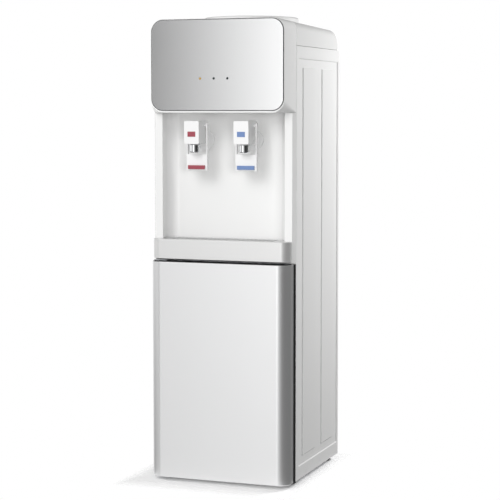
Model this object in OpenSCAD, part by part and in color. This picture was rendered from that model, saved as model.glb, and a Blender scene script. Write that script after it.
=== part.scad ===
// Hot and cold water dispenser for bottles, free standing, with a storage cabinet.
// Millimetres. X points to the viewer's right, Y to the rear, Z up.
// The origin is at the floor, under the middle of the dispenser.

/* [Cabinet] */
// Width across the side panels
cab_w = 310; // [300:1:330]
// Depth of the steel cabinet, front seam to rear edge
cab_d = 293; // [290:1:320]
// Height of the feet under the cabinet
foot_h = 12; // [10:0.5:18]
// Thickness of the sheet steel
sheet_t = 1.5; // [1:0.1:2]
// Width of the folded flanges of the side panels
flange_w = 14; // [10:1:18]
// Depth of the pressing in the side panels
press_depth = 2.2; // [1:0.1:3]
// Height of the base pan's rim
pan_h = 22; // [18:1:26]
// Distance from the rear edge to the rear panel
rear_recess = 25; // [24:1:32]

/* [Door] */
// Height of the door
door_h = 448.4; // [430:1:480]
// Thickness of the door
door_t = 36; // [30:1:40]
// Radius of the door's front corners
door_r = 25; // [15:1:28]
// Height of the gap above the door
door_gap = 4.3; // [4:0.1:8]
// Depth of the dark reveal behind the door
reveal = 5; // [4:0.5:8]
// Radius of the hinge pins
pin_r = 3; // [2.5:0.1:4]

/* [Tray and alcove] */
// Height of the silver tray front
band_h = 42; // [36:1:50]
// Radius of the tray front's corners
band_r = 17; // [10:1:20]
// Height of the alcove above the tray
alcove_h = 259; // [240:1:300]
// Width of the moulding on each side of the alcove opening
alcove_side = 21.5; // [19:0.5:30]
// Depth of the alcove behind its rim
alcove_d = 41; // [36:1:60]
// Radius of the alcove's rear corners
alcove_r = 21; // [10:1:28]
// Thickness of the moulded walls
wall = 2.5; // [2:0.1:3]
// Width of a slot in the drip grille
slot_w = 4.5; // [3:0.1:6]
// Pitch of the slots in the drip grille
slot_pitch = 9; // [8:0.1:14]

/* [Hood and fascia plate] */
// Height of the fascia plate
plate_h = 182; // [160:1:200]
// Width of the hood on each side of the fascia plate
plate_side = 13; // [11:0.5:18]
// Radius of the fascia plate's corners
plate_r = 24; // [15:1:30]
// Thickness of the fascia plate
plate_t = 3; // [2:0.1:4]
// Reach of the fascia plate in front of the seam
plate_reach = 44; // [40:1:50]
// Radius of an indicator light
led_r = 2.4; // [1.5:0.1:3]
// Pitch of the indicator lights
led_pitch = 29.5; // [20:0.5:40]

/* [Taps] */
// Distance from the middle to a tap
tap_x = 53.6; // [48:0.1:64]
// Reach of the taps in front of the seam
tap_reach = 47; // [46:0.5:52]
// Width of a tap's head
head_w = 32; // [26:1:36]
// Height of a tap's head
head_h = 46.5; // [40:0.5:52]
// Radius of a spout
spout_r = 11.75; // [9:0.25:13]
// Radius of the bore of a spout
spout_bore = 5.5; // [4:0.25:7]
// Width of a lever
lever_w = 46; // [44:1:52]
// Thickness of a lever's plate and arms
lever_t = 3; // [2:0.1:4]
// Height of a lever below its pivot
lever_drop = 92; // [86:1:98]

/* [Top cover and bottle seat] */
// Height of the top cover's side
lid_h = 49.5; // [44:0.5:56]
// Fall of the top cover from front to rear
lid_fall = 6; // [2:0.5:8]
// Radius of the top cover's long edges
lid_r = 18; // [10:1:22]
// Radius of the top cover's rear edge
lid_rear_r = 36; // [24:1:38]
// Outer radius of the bottle seat
seat_r = 101; // [92:1:104]
// Height of the bottle seat above the top cover
seat_h = 15.5; // [10:0.5:22]
// Radius of the neck of the seat, for a bottle's neck
neck_r = 29.5; // [28:0.25:32]
// Length of the neck's upper bore
neck_len = 22; // [18:1:26]

/* [Tanks and cooling] */
// Room round the cold tank for its coil, foam and the taps' shanks
tank_room = 40; // [38:1:48]
// Height of the cold tank
cold_h = 203; // [180:1:210]
// Radius of the hot tank
hot_r = 50; // [42:1:54]
// Height of the hot tank
hot_h = 120; // [105:1:124]
// Radius of the compressor's shell
comp_r = 54; // [46:1:56]
// Height of the compressor's shell
comp_h = 146; // [120:1:160]
// Radius of the condenser's tube
tube_r = 2.4; // [2:0.1:3]
// Number of passes of the condenser's tube
passes = 12; // [8:2:14]
// Pitch of the condenser's passes
pass_pitch = 50; // [40:1:52]
// Number of wires on each side of the condenser
wires = 23; // [11:2:31]
// Radius of a condenser wire
wire_r = 0.7; // [0.5:0.1:0.8]
// Turns of the evaporator coil
coil_turns = 7; // [5:1:9]
// Radius of the evaporator's tube
coil_tube_r = 3.2; // [2.5:0.1:4]

/* [Hidden] */
$fn = 48;

// Clearances: between moving pieces, between panels, and of a shaft in its hole.
gap = 0.3;
fit = 0.05;
eps = 0.01;

// Colours as the photo shows them.
white = [0.93, 0.93, 0.93];
silver = [0.78, 0.79, 0.80];
steel = [0.70, 0.71, 0.73];
chrome = [0.85, 0.85, 0.87];
dark = [0.13, 0.13, 0.14];
copper = [0.72, 0.45, 0.30];
foam = [0.95, 0.95, 0.90];
red = [0.66, 0.32, 0.37];
blue = [0.50, 0.59, 0.78];

// Main planes, from the driving sizes.
half_w = cab_w / 2;
alcove_w = cab_w - 2 * alcove_side;
plate_w = cab_w - 2 * plate_side;
rear_y = (cab_d + tap_reach) / 2;
seam_y = rear_y - cab_d;
inner_x = half_w - sheet_t - press_depth;
door_z0 = foot_h - 2.7;
door_z1 = door_z0 + door_h;
band_z0 = door_z1 + door_gap;
band_z1 = band_z0 + band_h;
hood_z0 = band_z1 + alcove_h;
plate_z0 = hood_z0 + 5;
plate_z1 = plate_z0 + plate_h;
hood_rim = 2.2;
hood_z1 = plate_z1 + hood_rim;
lid_z1 = hood_z1 - 5.2;
lid_z0 = lid_z1 - lid_h;
side_z1 = lid_z0 - gap;
panel_y = rear_y - rear_recess;
panel_t = 1.2;
plate_y = seam_y - plate_reach;
hood_y = plate_y + 1.5;
plate_back = plate_y + plate_t;
tap_y = seam_y - tap_reach;
tap_z0 = hood_z0 - 63;
shank_z = tap_z0 + 9;
shank_r = 8;
rim_y = seam_y - 9;
back_y = rim_y + alcove_d;
bracket_t = 2;
rail_z = door_z1 + 1.1;
bay_z = rail_z + bracket_t;
bay_t = 2.2;
deck_z = band_z0 + 6;
tank_deck_z = hood_z0 - 117;
tank_shift = 11;
tank_y = (back_y + panel_y) / 2 + tank_shift;
cold_r = (panel_y - back_y) / 2 - tank_room;
port_in = 50;
cold_port_y = tank_y - cold_r + port_in;
door_back = seam_y - reveal;
door_y = door_back - door_t;
door_half = half_w - 3.6;
pivot_x = -(half_w - 15);
pivot_y = seam_y - 17;

// Helpers

// A box between two corners.
module box(a, b) {
    translate(a) cube(b - a);
}

// A flat rectangle with round corners.
module round_rect(w, d, r) {
    square([w - 2 * r, d], center = true);
    square([w, d - 2 * r], center = true);
    for (x = [-1, 1], y = [-1, 1])
        translate([x * (w / 2 - r), y * (d / 2 - r)]) circle(r);
}

// A shape drawn in X and Z, extruded to the rear from y.
module in_xz(y, t) {
    translate([0, y + t, 0]) rotate([90, 0, 0]) linear_extrude(t) children();
}

// A shape drawn in Y and Z, extruded to the right from x.
module in_yz(x, t) {
    translate([x, 0, 0]) rotate([90, 0, 90]) linear_extrude(t) children();
}

// The same child on the left and on the right.
module both_sides() {
    children();
    mirror([1, 0, 0]) children();
}

// Points of a round corner at b, between a and c.
function unit(v) = v / norm(v);
function corner(a, b, c, r, n) =
    let (u = unit(a - b))
    let (v = unit(c - b))
    let (half = acos(u * v) / 2)
    let (centre = b + unit(u + v) * r / sin(half))
    let (s = b + u * r / tan(half) - centre)
    let (e = b + v * r / tan(half) - centre)
    let (w = 180 - 2 * half)
    [for (i = [0:n]) centre + (s * sin((1 - i / n) * w) + e * sin(i / n * w)) / sin(w)];
function round_path(p, r, n) = concat([p[0]],
    [for (i = [1:len(p) - 2]) each corner(p[i - 1], p[i], p[i + 1], r, n)],
    [p[len(p) - 1]]);

// Directions along a path, and the sideways directions that carry the rings.
function along(p) = [for (i = [0:len(p) - 1])
    unit(p[min(i + 1, len(p) - 1)] - p[max(i - 1, 0)])];
function square_to(n, t) = unit(n - (n * t) * t);
function sideways(t, n0) = [for (i = 0, n = square_to(n0, t[0]); i < len(t);
    i = i + 1, n = square_to(n, t[min(i, len(t) - 1)])) n];

// One unbroken tube along a path.
module tube_along(p, r, sides, n0 = [1, 0.3, 0.2]) {
    t = along(p);
    n = sideways(t, n0);
    last = (len(p) - 1) * sides;
    ring_points = [for (i = [0:len(p) - 1], k = [0:sides - 1])
        p[i] + r * (cos(360 * k / sides) * n[i] + sin(360 * k / sides) * cross(t[i], n[i]))];
    ends = [for (k = [1:sides - 2]) each [[0, k, k + 1], [last, last + k + 1, last + k]]];
    walls = [for (i = [0:len(p) - 2], k = [0:sides - 1])
        let (a = i * sides + k)
        let (b = i * sides + (k + 1) % sides)
        each [[a, b + sides, b], [a, a + sides, b + sides]]];
    polyhedron(ring_points, concat(ends, walls));
}

// A hexagonal nut around a hole.
module nut(across, h, hole) {
    difference() {
        cylinder(h = h, d = across / cos(30), $fn = 6);
        translate([0, 0, -eps]) cylinder(h = h + 2 * eps, r = hole);
    }
}

// Cabinet structure

stud_r = 4;
foot_in = 26;
foot_front = 30;
comp_x = 10;
comp_y = 102;
mount_x = 60;
mount_y = 40;
bolt_r = 3;

// The four feet, as offsets to the middle of each.
module at_feet() {
    for (x = [-1, 1], y = [seam_y + foot_front, rear_y - foot_in])
        translate([x * (half_w - foot_in), y, 0]) children();
}

// The four corners of the compressor's base.
module at_comp_mounts() {
    for (x = [-1, 1], y = [-1, 1])
        translate([comp_x + x * mount_x, comp_y + y * mount_y, 0]) children();
}

module base_pan() color(steel) {
    outer_x = half_w - sheet_t;
    y0 = seam_y + sheet_t;
    y1 = rear_y - sheet_t;
    difference() {
        box([-outer_x, y0, foot_h], [outer_x, y1, foot_h + pan_h]);
        box([-outer_x + sheet_t, y0 + sheet_t, foot_h + sheet_t],
            [outer_x - sheet_t, y1 - sheet_t, foot_h + pan_h + eps]);
        at_feet() translate([0, 0, foot_h - eps]) cylinder(h = 2 * sheet_t, r = stud_r + gap);
        at_comp_mounts() translate([0, 0, foot_h - eps]) cylinder(h = 2 * sheet_t, r = bolt_r + fit);
        for (i = [-2:2])
            box([comp_x + i * 14 - 3, comp_y - 30, foot_h - eps],
                [comp_x + i * 14 + 3, comp_y + 30, foot_h + 2 * sheet_t]);
    }
}

// A foot's pad, stud and lock nut, turned in one piece.
module levelling_feet() color(dark) at_feet() {
    pad_h = 7;
    rotate_extrude() polygon([[0, 0], [14, 0], [16, 2], [16, 5], [13, pad_h], [9, pad_h], [9, foot_h],
        [stud_r, foot_h], [stud_r, foot_h + pan_h - 3], [0, foot_h + pan_h - 3]]);
}

// Pressed form of the right side panel: a sunk field with two raised panels, all with sloped edges.
field_y0 = 17;
field_y1 = cab_d - 10;
field_z0 = 26;
field_z1 = 24;
slope = 4;
rib_y = [[45, 131], [171, 254]];
rib_z = 18;

module sloped(y0, y1, z0, z1, x_small, x_wide, s) {
    hull() {
        box([x_small, y0 + s, z0 + s], [x_small + eps, y1 - s, z1 - s]);
        box([x_wide, y0, z0], [x_wide + eps, y1, z1]);
    }
}

module pressed_block() {
    floor_x = half_w - press_depth;
    z0 = foot_h + field_z0;
    z1 = side_z1 - field_z1;
    difference() {
        box([inner_x - 4, seam_y - 1, foot_h - 1], [half_w, rear_y + 1, side_z1 + 1]);
        difference() {
            sloped(seam_y + field_y0, seam_y + field_y1, z0, z1, floor_x, half_w, slope);
            for (y = rib_y) mirror([1, 0, 0])
                sloped(seam_y + y[0], seam_y + y[1], z0 + rib_z, z1 - rib_z,
                    -half_w - 2 * eps, -floor_x + eps, slope);
        }
    }
}

module side_panel() color(white) {
    difference() {
        pressed_block();
        translate([-sheet_t, 0, 0]) pressed_block();
        box([0, seam_y - 2, foot_h - 2], [half_w + 1, seam_y, side_z1 + 2]);
        box([0, rear_y, foot_h - 2], [half_w + 1, rear_y + 2, side_z1 + 2]);
        box([0, seam_y - 2, foot_h - 2], [half_w + 1, rear_y + 2, foot_h]);
        box([0, seam_y - 2, side_z1], [half_w + 1, rear_y + 2, side_z1 + 2]);
    }
    box([half_w - flange_w, seam_y, foot_h], [half_w - eps, seam_y + sheet_t, side_z1]);
    box([half_w - flange_w + 4, rear_y - sheet_t, foot_h], [half_w - eps, rear_y, side_z1]);
}

module right_side_panel() side_panel();
module left_side_panel() mirror([1, 0, 0]) side_panel();

// Rear panel with its condenser saddles, and the cross members inside

rear_z0 = foot_h + pan_h + 202;
pass_z0 = rear_z0 + 64;
condenser_y = panel_y + 12;
straight_x = 98;
bend_r = (pass_pitch - 1) / 2;
saddle_x = 92.5;
fitting_z = rear_z0 + 30;
switch_x = 60;
inlet_x = 112;
drain_x = -50;
drain_y = 60;
coil_rings = 16;
coil_r = (cold_r + coil_tube_r + gap) / cos(180 / coil_rings);
suction = [coil_r * cos(100), tank_y + coil_r * sin(100)];
capillary = [(coil_r + 7) * cos(76), tank_y + (coil_r + 7) * sin(76)];
hose_r = 5;
panel_fold = 12;
tap_room = 41;
switch_half = 23.5;
switch_tall = 11.5;
switch_lip = 3.5;

// A saddle that holds one pass of the condenser off the rear panel.
module saddle(x, z) {
    arm = 2;
    half = tube_r + gap + arm;
    difference() {
        box([x - 4, panel_y - eps, z - half], [x + 4, condenser_y + tube_r, z + half]);
        box([x - 5, condenser_y - tube_r - gap, z - tube_r - gap],
            [x + 5, condenser_y + tube_r + 1, z + tube_r + gap]);
    }
}

module rear_panel() color(steel) {
    z1 = side_z1 - 4;
    y0 = panel_y - panel_t;
    difference() {
        union() {
            box([-inner_x, y0, rear_z0], [inner_x, panel_y, z1]);
            both_sides() box([inner_x - panel_t, y0 - panel_fold, rear_z0], [inner_x, y0 + eps, z1]);
        }
        box([switch_x - switch_half - 0.5, y0 - 1, fitting_z - switch_tall - 0.5],
            [switch_x + switch_half + 0.5, panel_y + 1, fitting_z + switch_tall + 0.5]);
        for (x = [drain_x, inlet_x])
            translate([x, panel_y + 1, fitting_z]) rotate([90, 0, 0]) cylinder(h = 4, r = 8);
        for (i = [-3:3])
            box([i * 30 - 10, y0 - 1, z1 - 16], [i * 30 + 10, panel_y + 1, z1 - 12]);
    }
    for (i = [1, passes - 2], x = [-saddle_x, saddle_x])
        saddle(x, pass_z0 + i * pass_pitch);
}

// A deck that spans the cabinet between the side panels, with its edges folded down.
module deck(y0, z) {
    flange = 12;
    y1 = panel_y - panel_t - panel_fold - gap;
    box([-inner_x, y0, z], [inner_x, y1, z + sheet_t]);
    both_sides() box([inner_x - sheet_t, y0, z - flange], [inner_x, y1, z + eps]);
    box([-inner_x, y0, z - flange], [inner_x, y0 + sheet_t, z + eps]);
}

module cross_members() color(steel) {
    rail_y = seam_y + sheet_t;
    rail_depth = 28;
    box([-inner_x, rail_y, rail_z - sheet_t], [inner_x, seam_y + rail_depth, rail_z]);
    box([-inner_x, rail_y, rail_z - 6], [inner_x, rail_y + sheet_t, rail_z]);
    difference() {
        deck(back_y + wall + 2, deck_z);
        hole_through([suction.x, suction.y], deck_z, coil_tube_r + 2);
        hole_through([capillary.x, capillary.y], deck_z, 3);
        hole_through([drain_x, drain_y], deck_z, hose_r + 3);
    }
    difference() {
        deck(back_y + tap_room, tank_deck_z);
        hole_through([suction.x, suction.y], tank_deck_z, coil_tube_r + 2);
        hole_through([capillary.x, capillary.y], tank_deck_z, 3);
        hole_through([0, tank_y], tank_deck_z, 10);
        hole_through([tap_x, cold_port_y], tank_deck_z, 10);
    }
}

module hole_through(at, z, r) {
    translate([at.x, at.y, z - 20]) cylinder(h = 40, r = r);
}

// Top cover, a moulded shell with a round opening and a flat ring under the bottle seat

seat_y = tank_y;
seat_body_r = seat_r - 9;
plinth_z = lid_z1 + 0.5;

module lid_form(k) {
    x = half_w - lid_r;
    fall = lid_r - lid_rear_r;
    hull() {
        box([-(half_w - k), seam_y + k, lid_z0 - (k > 0 ? 1 : 0)],
            [half_w - k, rear_y - k, lid_z0 + eps]);
        for (sx = [-x, x]) {
            translate([sx, seam_y + k + eps, lid_z1 - lid_r]) rotate([90, 0, 0])
                cylinder(h = eps, r = lid_r - k, $fn = 32);
            for (a = [0:30:90])
                translate([sx, rear_y - lid_rear_r - fall * cos(a), lid_z1 - lid_fall - lid_rear_r - fall * sin(a)])
                    sphere(r = lid_r - k, $fn = 24);
        }
    }
}

module top_cover() color(white) {
    hole = seat_body_r + 0.5;
    difference() {
        union() {
            difference() {
                lid_form(0);
                lid_form(wall);
                box([-half_w - 1, seam_y - 1, lid_z0 - lid_rear_r], [half_w + 1, rear_y + 1, lid_z0]);
            }
            translate([0, seat_y, lid_z1 - lid_fall - wall - 2])
                cylinder(h = plinth_z - lid_z1 + lid_fall + wall + 2, r = seat_r + 3);
        }
        translate([0, seat_y, lid_z0 - 1]) cylinder(h = lid_h + 10, r = hole);
    }
}

// Front hood: a shell that grows from the fascia's outline to the cabinet's section

led_x = -6;
led_z = plate_z0 + 64;
trim_w = 1.2;
hood_edge_r = plate_r + hood_rim;

module hood_form(k) {
    w = plate_w + 2 * hood_rim - 2 * k;
    h = hood_z1 - hood_z0 - 2 * k;
    y0 = k > 0 ? plate_back + wall : hood_y;
    hull() {
        translate([0, 0, (hood_z0 + hood_z1) / 2]) in_xz(y0, 0.5)
            round_rect(w, h, hood_edge_r - k, $fn = 48);
        for (x = [-1, 1])
            translate([x * (half_w - lid_r), seam_y + (k > 0 ? 1 : 0), lid_z1 - lid_r]) rotate([90, 0, 0])
                cylinder(h = eps, r = lid_r - k, $fn = 32);
        box([-(half_w - k), seam_y - eps, hood_z0 + k], [half_w - k, seam_y + (k > 0 ? 1 : 0), hood_z0 + k + 1]);
    }
}

module at_leds() {
    for (i = [-1:1]) translate([led_x + i * led_pitch, 0, led_z]) children();
}

module front_hood() color(white) {
    difference() {
        hood_form(0);
        hood_form(wall);
        translate([0, 0, (plate_z0 + plate_z1) / 2]) in_xz(hood_y - 1, plate_back - hood_y + 1)
            round_rect(plate_w + 2 * trim_w, plate_h + 2 * trim_w, plate_r + trim_w);
        at_leds() translate([0, plate_back + 5, 0]) rotate([90, 0, 0]) cylinder(h = 10, r = led_r + 0.1);
    }
    for (x = [led_x - 42, led_x + 42])
        translate([x, plate_back + wall + 1.5, led_z]) rotate([90, 0, 0]) cylinder(h = 1.5 + eps, r = 3.5);
}

module fascia_plate() color(silver) {
    difference() {
        translate([0, 0, (plate_z0 + plate_z1) / 2]) in_xz(plate_y, plate_t) round_rect(plate_w, plate_h, plate_r);
        at_leds() translate([0, plate_back + 1, 0]) rotate([90, 0, 0]) cylinder(h = plate_t + 2, r = led_r + 0.1);
    }
}

// The dark bead that fills the groove round the plate.
module plate_trim() color(dark) {
    translate([0, 0, (plate_z0 + plate_z1) / 2]) in_xz(hood_y - 0.4, plate_back - hood_y + 0.4)
        difference() {
            round_rect(plate_w + 2 * (trim_w - fit), plate_h + 2 * (trim_w - fit), plate_r + trim_w - fit);
            round_rect(plate_w + 2 * fit, plate_h + 2 * fit, plate_r + fit);
        }
}

module led_lenses() color([0.9, 0.6, 0.2]) at_leds() {
    translate([0, plate_y - 0.4, 0]) rotate([-90, 0, 0]) cylinder(h = plate_t + wall + 1.8, r = led_r);
}

board_y = plate_back + wall + 1.5;
control_x = inner_x - 8;

// The indicator board behind the fascia, and the control board with its relays on the right side panel.
module circuit_boards() color([0.1, 0.4, 0.2]) {
    box([led_x - 48, board_y, led_z - 10], [led_x + 48, board_y + 1.6, led_z + 10]);
    translate([0, 0, deck_z + 70]) {
        box([control_x - 1.6, 50, 0], [control_x, 130, 90]);
        box([control_x - 26, 62, 12], [control_x - 1.6, 90, 46]);
        for (z = [56, 74]) box([control_x - 17, 62, z - 6], [control_x - 1.6, 84, z + 6]);
        box([control_x - 14, 100, 14], [control_x - 1.6, 110, 76]);
        for (y = [56, 124], z = [6, 84])
            translate([control_x, y, z]) rotate([0, 90, 0]) cylinder(h = half_w - sheet_t - control_x, r = 2.5);
    }
}

// Alcove: rim, walls, rounded back corners, ceiling and the floor of the tray's bay

module alcove_plan(k) {
    w = alcove_w / 2;
    y0 = rim_y - 40;
    union() {
        translate([-w - k, y0]) square([2 * (w + k), back_y - alcove_r - y0]);
        translate([-(w - alcove_r), y0]) square([2 * (w - alcove_r), back_y + k - y0]);
        for (x = [-1, 1]) translate([x * (w - alcove_r), back_y - alcove_r]) circle(r = alcove_r + k);
    }
}

module alcove_panel() color(white) {
    w = alcove_w / 2;
    rim_x = half_w - 5.6;
    top = hood_z0 - gap;
    difference() {
        translate([0, 0, bay_z]) linear_extrude(hood_z0 + wall - bay_z) difference() {
            alcove_plan(wall);
            alcove_plan(0);
        }
        box([-half_w, rim_y - 50, bay_z - 1], [half_w, rim_y, hood_z0 + 10]);
        box([-half_w, rim_y - 1, top], [half_w, seam_y + gap, hood_z0 + 10]);
        for (x = [-tap_x, tap_x]) translate([x, back_y + wall + 1, shank_z])
            rotate([90, 0, 0]) cylinder(h = wall + 2, r = shank_r + gap);
    }
    both_sides() translate([0, 0, bay_z]) linear_extrude(top - bay_z)
        polygon([[w, rim_y], [rim_x, rim_y], [half_w, seam_y], [half_w - wall, seam_y],
            [rim_x - wall / 2, rim_y + wall], [w + wall / 2, rim_y + wall], [w + eps, rim_y + wall]]);
    box([-w - wall, seam_y + gap, hood_z0], [w + wall, back_y + wall, hood_z0 + wall]);
    box([-w - wall, rim_y, bay_z], [w + wall, back_y + wall, bay_z + bay_t]);
}

// Storage cabinet behind the door

liner_y1 = 35;
liner_half = half_w - 20;
liner_z0 = foot_h + pan_h;
liner_z1 = rail_z - 6.8;
shelf_y0 = seam_y + 10;
shelf_lip = 3;
shelf_up = 196;
shelf_z = liner_z0 + shelf_up;

module cabinet_liner() color(white) {
    ring_half = half_w - flange_w - gap;
    difference() {
        union() {
            box([-liner_half, seam_y + sheet_t - eps, liner_z0], [liner_half, liner_y1, liner_z1]);
            box([-ring_half, seam_y, liner_z0 - 14], [ring_half, seam_y + sheet_t, liner_z1 + 4]);
        }
        box([-liner_half + wall, seam_y - 1, liner_z0 + wall], [liner_half - wall, liner_y1 - wall, liner_z1 - wall]);
    }
    both_sides() box([liner_half - wall - 6, shelf_y0 + shelf_lip + gap, shelf_z - 4],
        [liner_half - wall + eps, liner_y1 - wall + eps, shelf_z]);
}

module shelf() color(white) {
    half = liner_half - wall - gap;
    difference() {
        box([-half, shelf_y0, shelf_z], [half, liner_y1 - wall - gap, shelf_z + 4]);
        for (i = [-7:7]) box([i * 16 - 4, shelf_y0 + 18, shelf_z - 1], [i * 16 + 4, liner_y1 - 20, shelf_z + 5]);
    }
    box([-half, shelf_y0, shelf_z - 8], [half, shelf_y0 + shelf_lip, shelf_z + 7]);
}

// Two folded brackets, each with the pin that the door turns on.
pin_len = 10;
bush_wall = 3;

module bracket_plate(z, t) {
    box([pivot_x - 7, pivot_y - 7, z], [pivot_x + 22, seam_y - gap, z + t]);
}

module hinge_brackets() color(steel) {
    low_z = door_z0 - 1.1 - sheet_t - 1;
    flange_x = -(half_w - flange_w) + gap;
    bracket_plate(rail_z, bracket_t);
    box([flange_x, seam_y - 1, rail_z], [pivot_x + 22, seam_y + 26, rail_z + bracket_t]);
    translate([pivot_x, pivot_y, rail_z - pin_len]) cylinder(h = pin_len + eps, r = pin_r);
    bracket_plate(low_z, sheet_t + 1);
    box([flange_x, seam_y - 1, low_z], [pivot_x + 22, seam_y + sheet_t, low_z + sheet_t + 1]);
    box([flange_x, seam_y, low_z], [pivot_x + 22, seam_y + sheet_t, liner_z0 - 14 - gap]);
    translate([pivot_x, pivot_y, low_z + sheet_t + 1 - eps]) cylinder(h = pin_len + eps, r = pin_r);
}

catch_z = door_z0 + 220;
catch_x = liner_half - 11;
catch_w = 12;
catch_h = 32;

module magnet_catch() color(dark)
    box([catch_x - catch_w / 2, door_back + gap, catch_z], [catch_x + catch_w / 2, seam_y, catch_z + catch_h]);

// Door: silver shell, white liner, dark seal and the bushes that run on the hinge pins

skin_t = 2;

module door_plan(k) {
    y1 = door_back + (k > 0 ? 1 : 0);
    intersection() {
        translate([-door_half, door_y]) square([2 * door_half, y1 - door_y]);
        union() {
            translate([-(door_half - door_r), door_y + k]) square([2 * (door_half - door_r), door_t + 1]);
            translate([-(door_half - k), door_y + door_r]) square([2 * (door_half - k), door_t]);
            for (x = [-1, 1]) translate([x * (door_half - door_r), door_y + door_r]) circle(r = door_r - k);
        }
    }
}

module at_bushes() {
    for (z = [door_z0, door_z1 - pin_len - skin_t])
        translate([pivot_x, pivot_y, z]) children();
}

module door_shell() color(silver) {
    boss_h = pin_len + skin_t;
    bush_r = pin_r + bush_wall + fit;
    difference() {
        union() {
            difference() {
                translate([0, 0, door_z0]) linear_extrude(door_h) door_plan(0);
                translate([0, 0, door_z0 + skin_t]) linear_extrude(door_h - 2 * skin_t) door_plan(skin_t);
            }
            at_bushes() cylinder(h = boss_h, r = bush_r + 2);
        }
        at_bushes() translate([0, 0, -1]) cylinder(h = boss_h + 2, r = bush_r);
    }
}

module hinge_bushes() color(white) at_bushes() difference() {
    cylinder(h = pin_len + skin_t, r = pin_r + bush_wall);
    translate([0, 0, -1]) cylinder(h = pin_len + skin_t + 2, r = pin_r + fit);
}

// The door liner closes the shell's back and is pressed in to a shallow pan.
module door_liner() color(white) {
    half = door_half - skin_t - fit;
    z0 = door_z0 + skin_t + fit;
    z1 = door_z1 - skin_t - fit;
    pan = 16;
    depth = 10;
    mid_z = (z0 + z1) / 2;
    difference() {
        union() {
            box([-half, door_back - skin_t, z0], [half, door_back, z1]);
            translate([0, 0, mid_z]) in_xz(door_back - depth, depth)
                round_rect(2 * (half - pan - 14), z1 - z0 - 2 * pan, 14);
        }
        translate([0, 0, mid_z]) in_xz(door_back - depth + skin_t, depth)
            round_rect(2 * (half - pan - 14) - 2 * skin_t, z1 - z0 - 2 * pan - 2 * skin_t, 12);
    }
    box([catch_x - catch_w / 2 - 2, door_back - eps, catch_z - 2],
        [catch_x + catch_w / 2 + 2, door_back + gap / 2, catch_z + catch_h + 2]);
}

// The seal shows as a dark line at the free edge, and stops at the pivot's line on the hinge side.
module door_seal() color(dark) {
    inset = 1.5;
    w = 7;
    free_x = door_half - inset;
    z0 = door_z0 + inset;
    z1 = door_z1 - inset;
    difference() {
        box([pivot_x, door_back, z0], [free_x, seam_y - gap, z1]);
        box([pivot_x + w, door_back - 1, z0 + w], [free_x - w, seam_y + 1, z1 - w]);
    }
}

// Drip tray with its silver front, and the grille on it

band_y = seam_y - 33;
band_half = half_w - 6;
tray_gap = 2;
grille_t = 3;
grille_z = band_z1 - grille_t - 0.2;

module tray_plan(k, y0) {
    x = alcove_w / 2 - tray_gap - k;
    r = alcove_r - tray_gap - k;
    y1 = back_y - tray_gap - k;
    translate([-x, y0 + k]) square([2 * x, y1 - r - y0 - k]);
    translate([-(x - r), y0 + k]) square([2 * (x - r), y1 - y0 - k]);
    for (s = [-1, 1]) translate([s * (x - r), y1 - r]) circle(r = r);
}

module band_plan(k) {
    r = band_r - k;
    x = band_half - k;
    y1 = rim_y - gap + (k > 0 ? 1 : 0);
    intersection() {
        translate([-x, band_y]) square([2 * x, y1 - band_y]);
        union() {
            translate([-(x - r), band_y + k]) square([2 * (x - r), y1 - band_y]);
            translate([-x, band_y + k + r]) square([2 * x, y1 - band_y]);
            for (s = [-1, 1]) translate([s * (x - r), band_y + k + r]) circle(r = r);
        }
    }
}

module tray_front() color(silver) {
    difference() {
        translate([0, 0, band_z0]) linear_extrude(band_h) band_plan(0);
        translate([0, 0, band_z0 - 1]) linear_extrude(band_h + 1 - wall) band_plan(wall);
        translate([0, 0, band_z1 - wall - 1]) linear_extrude(wall + 2) tray_plan(0, band_y + 2 * wall);
    }
}

module drip_tray() color(white) {
    z0 = bay_z + bay_t + gap;
    y0 = band_y + wall;
    difference() {
        translate([0, 0, z0]) linear_extrude(grille_z - gap - z0) tray_plan(0.2, y0 - 0.2);
        translate([0, 0, z0 + wall]) linear_extrude(band_h) tray_plan(wall, y0);
    }
}

module drip_grille() color(silver) {
    count = floor((alcove_w / 2 - 24) / slot_pitch);
    difference() {
        translate([0, 0, grille_z]) linear_extrude(grille_t) tray_plan(0.6, band_y + 2 * wall);
        for (i = [-count:count])
            box([i * slot_pitch - slot_w / 2, band_y + 14, grille_z - 1],
                [i * slot_pitch + slot_w / 2, back_y - 12, grille_z + grille_t + 1]);
    }
}

// Bottle seat: a turned ring with a funnel, a neck for the bottle and a cup below it

seat_z0 = plinth_z + gap;
cup_z = seat_z0 - 67;
seat_z1 = plinth_z + seat_h;
neck_top = seat_z1 - 33;
neck_step = neck_top - neck_len;
neck_wall = 3;

module bottle_seat() color(white) translate([0, seat_y, 0]) rotate_extrude($fn = 96) {
    z0 = seat_z0;
    low_r = neck_r - 1.5;
    outer = neck_r + neck_wall;
    polygon([[low_r, cup_z + wall], [low_r, neck_step], [neck_r, neck_step], [neck_r, neck_top],
        [seat_body_r - 8, seat_z1 - 3], [seat_body_r - 5, seat_z1], [seat_r - 3, seat_z1],
        [seat_r, seat_z1 - 3], [seat_r, z0], [seat_body_r, z0], [seat_body_r, z0 - 10],
        [seat_body_r - wall, z0 - 10], [seat_body_r - wall, z0 + 6],
        [outer, neck_top - 4], [outer, cup_z], [9, cup_z], [9, cup_z + wall]]);
}

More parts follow.
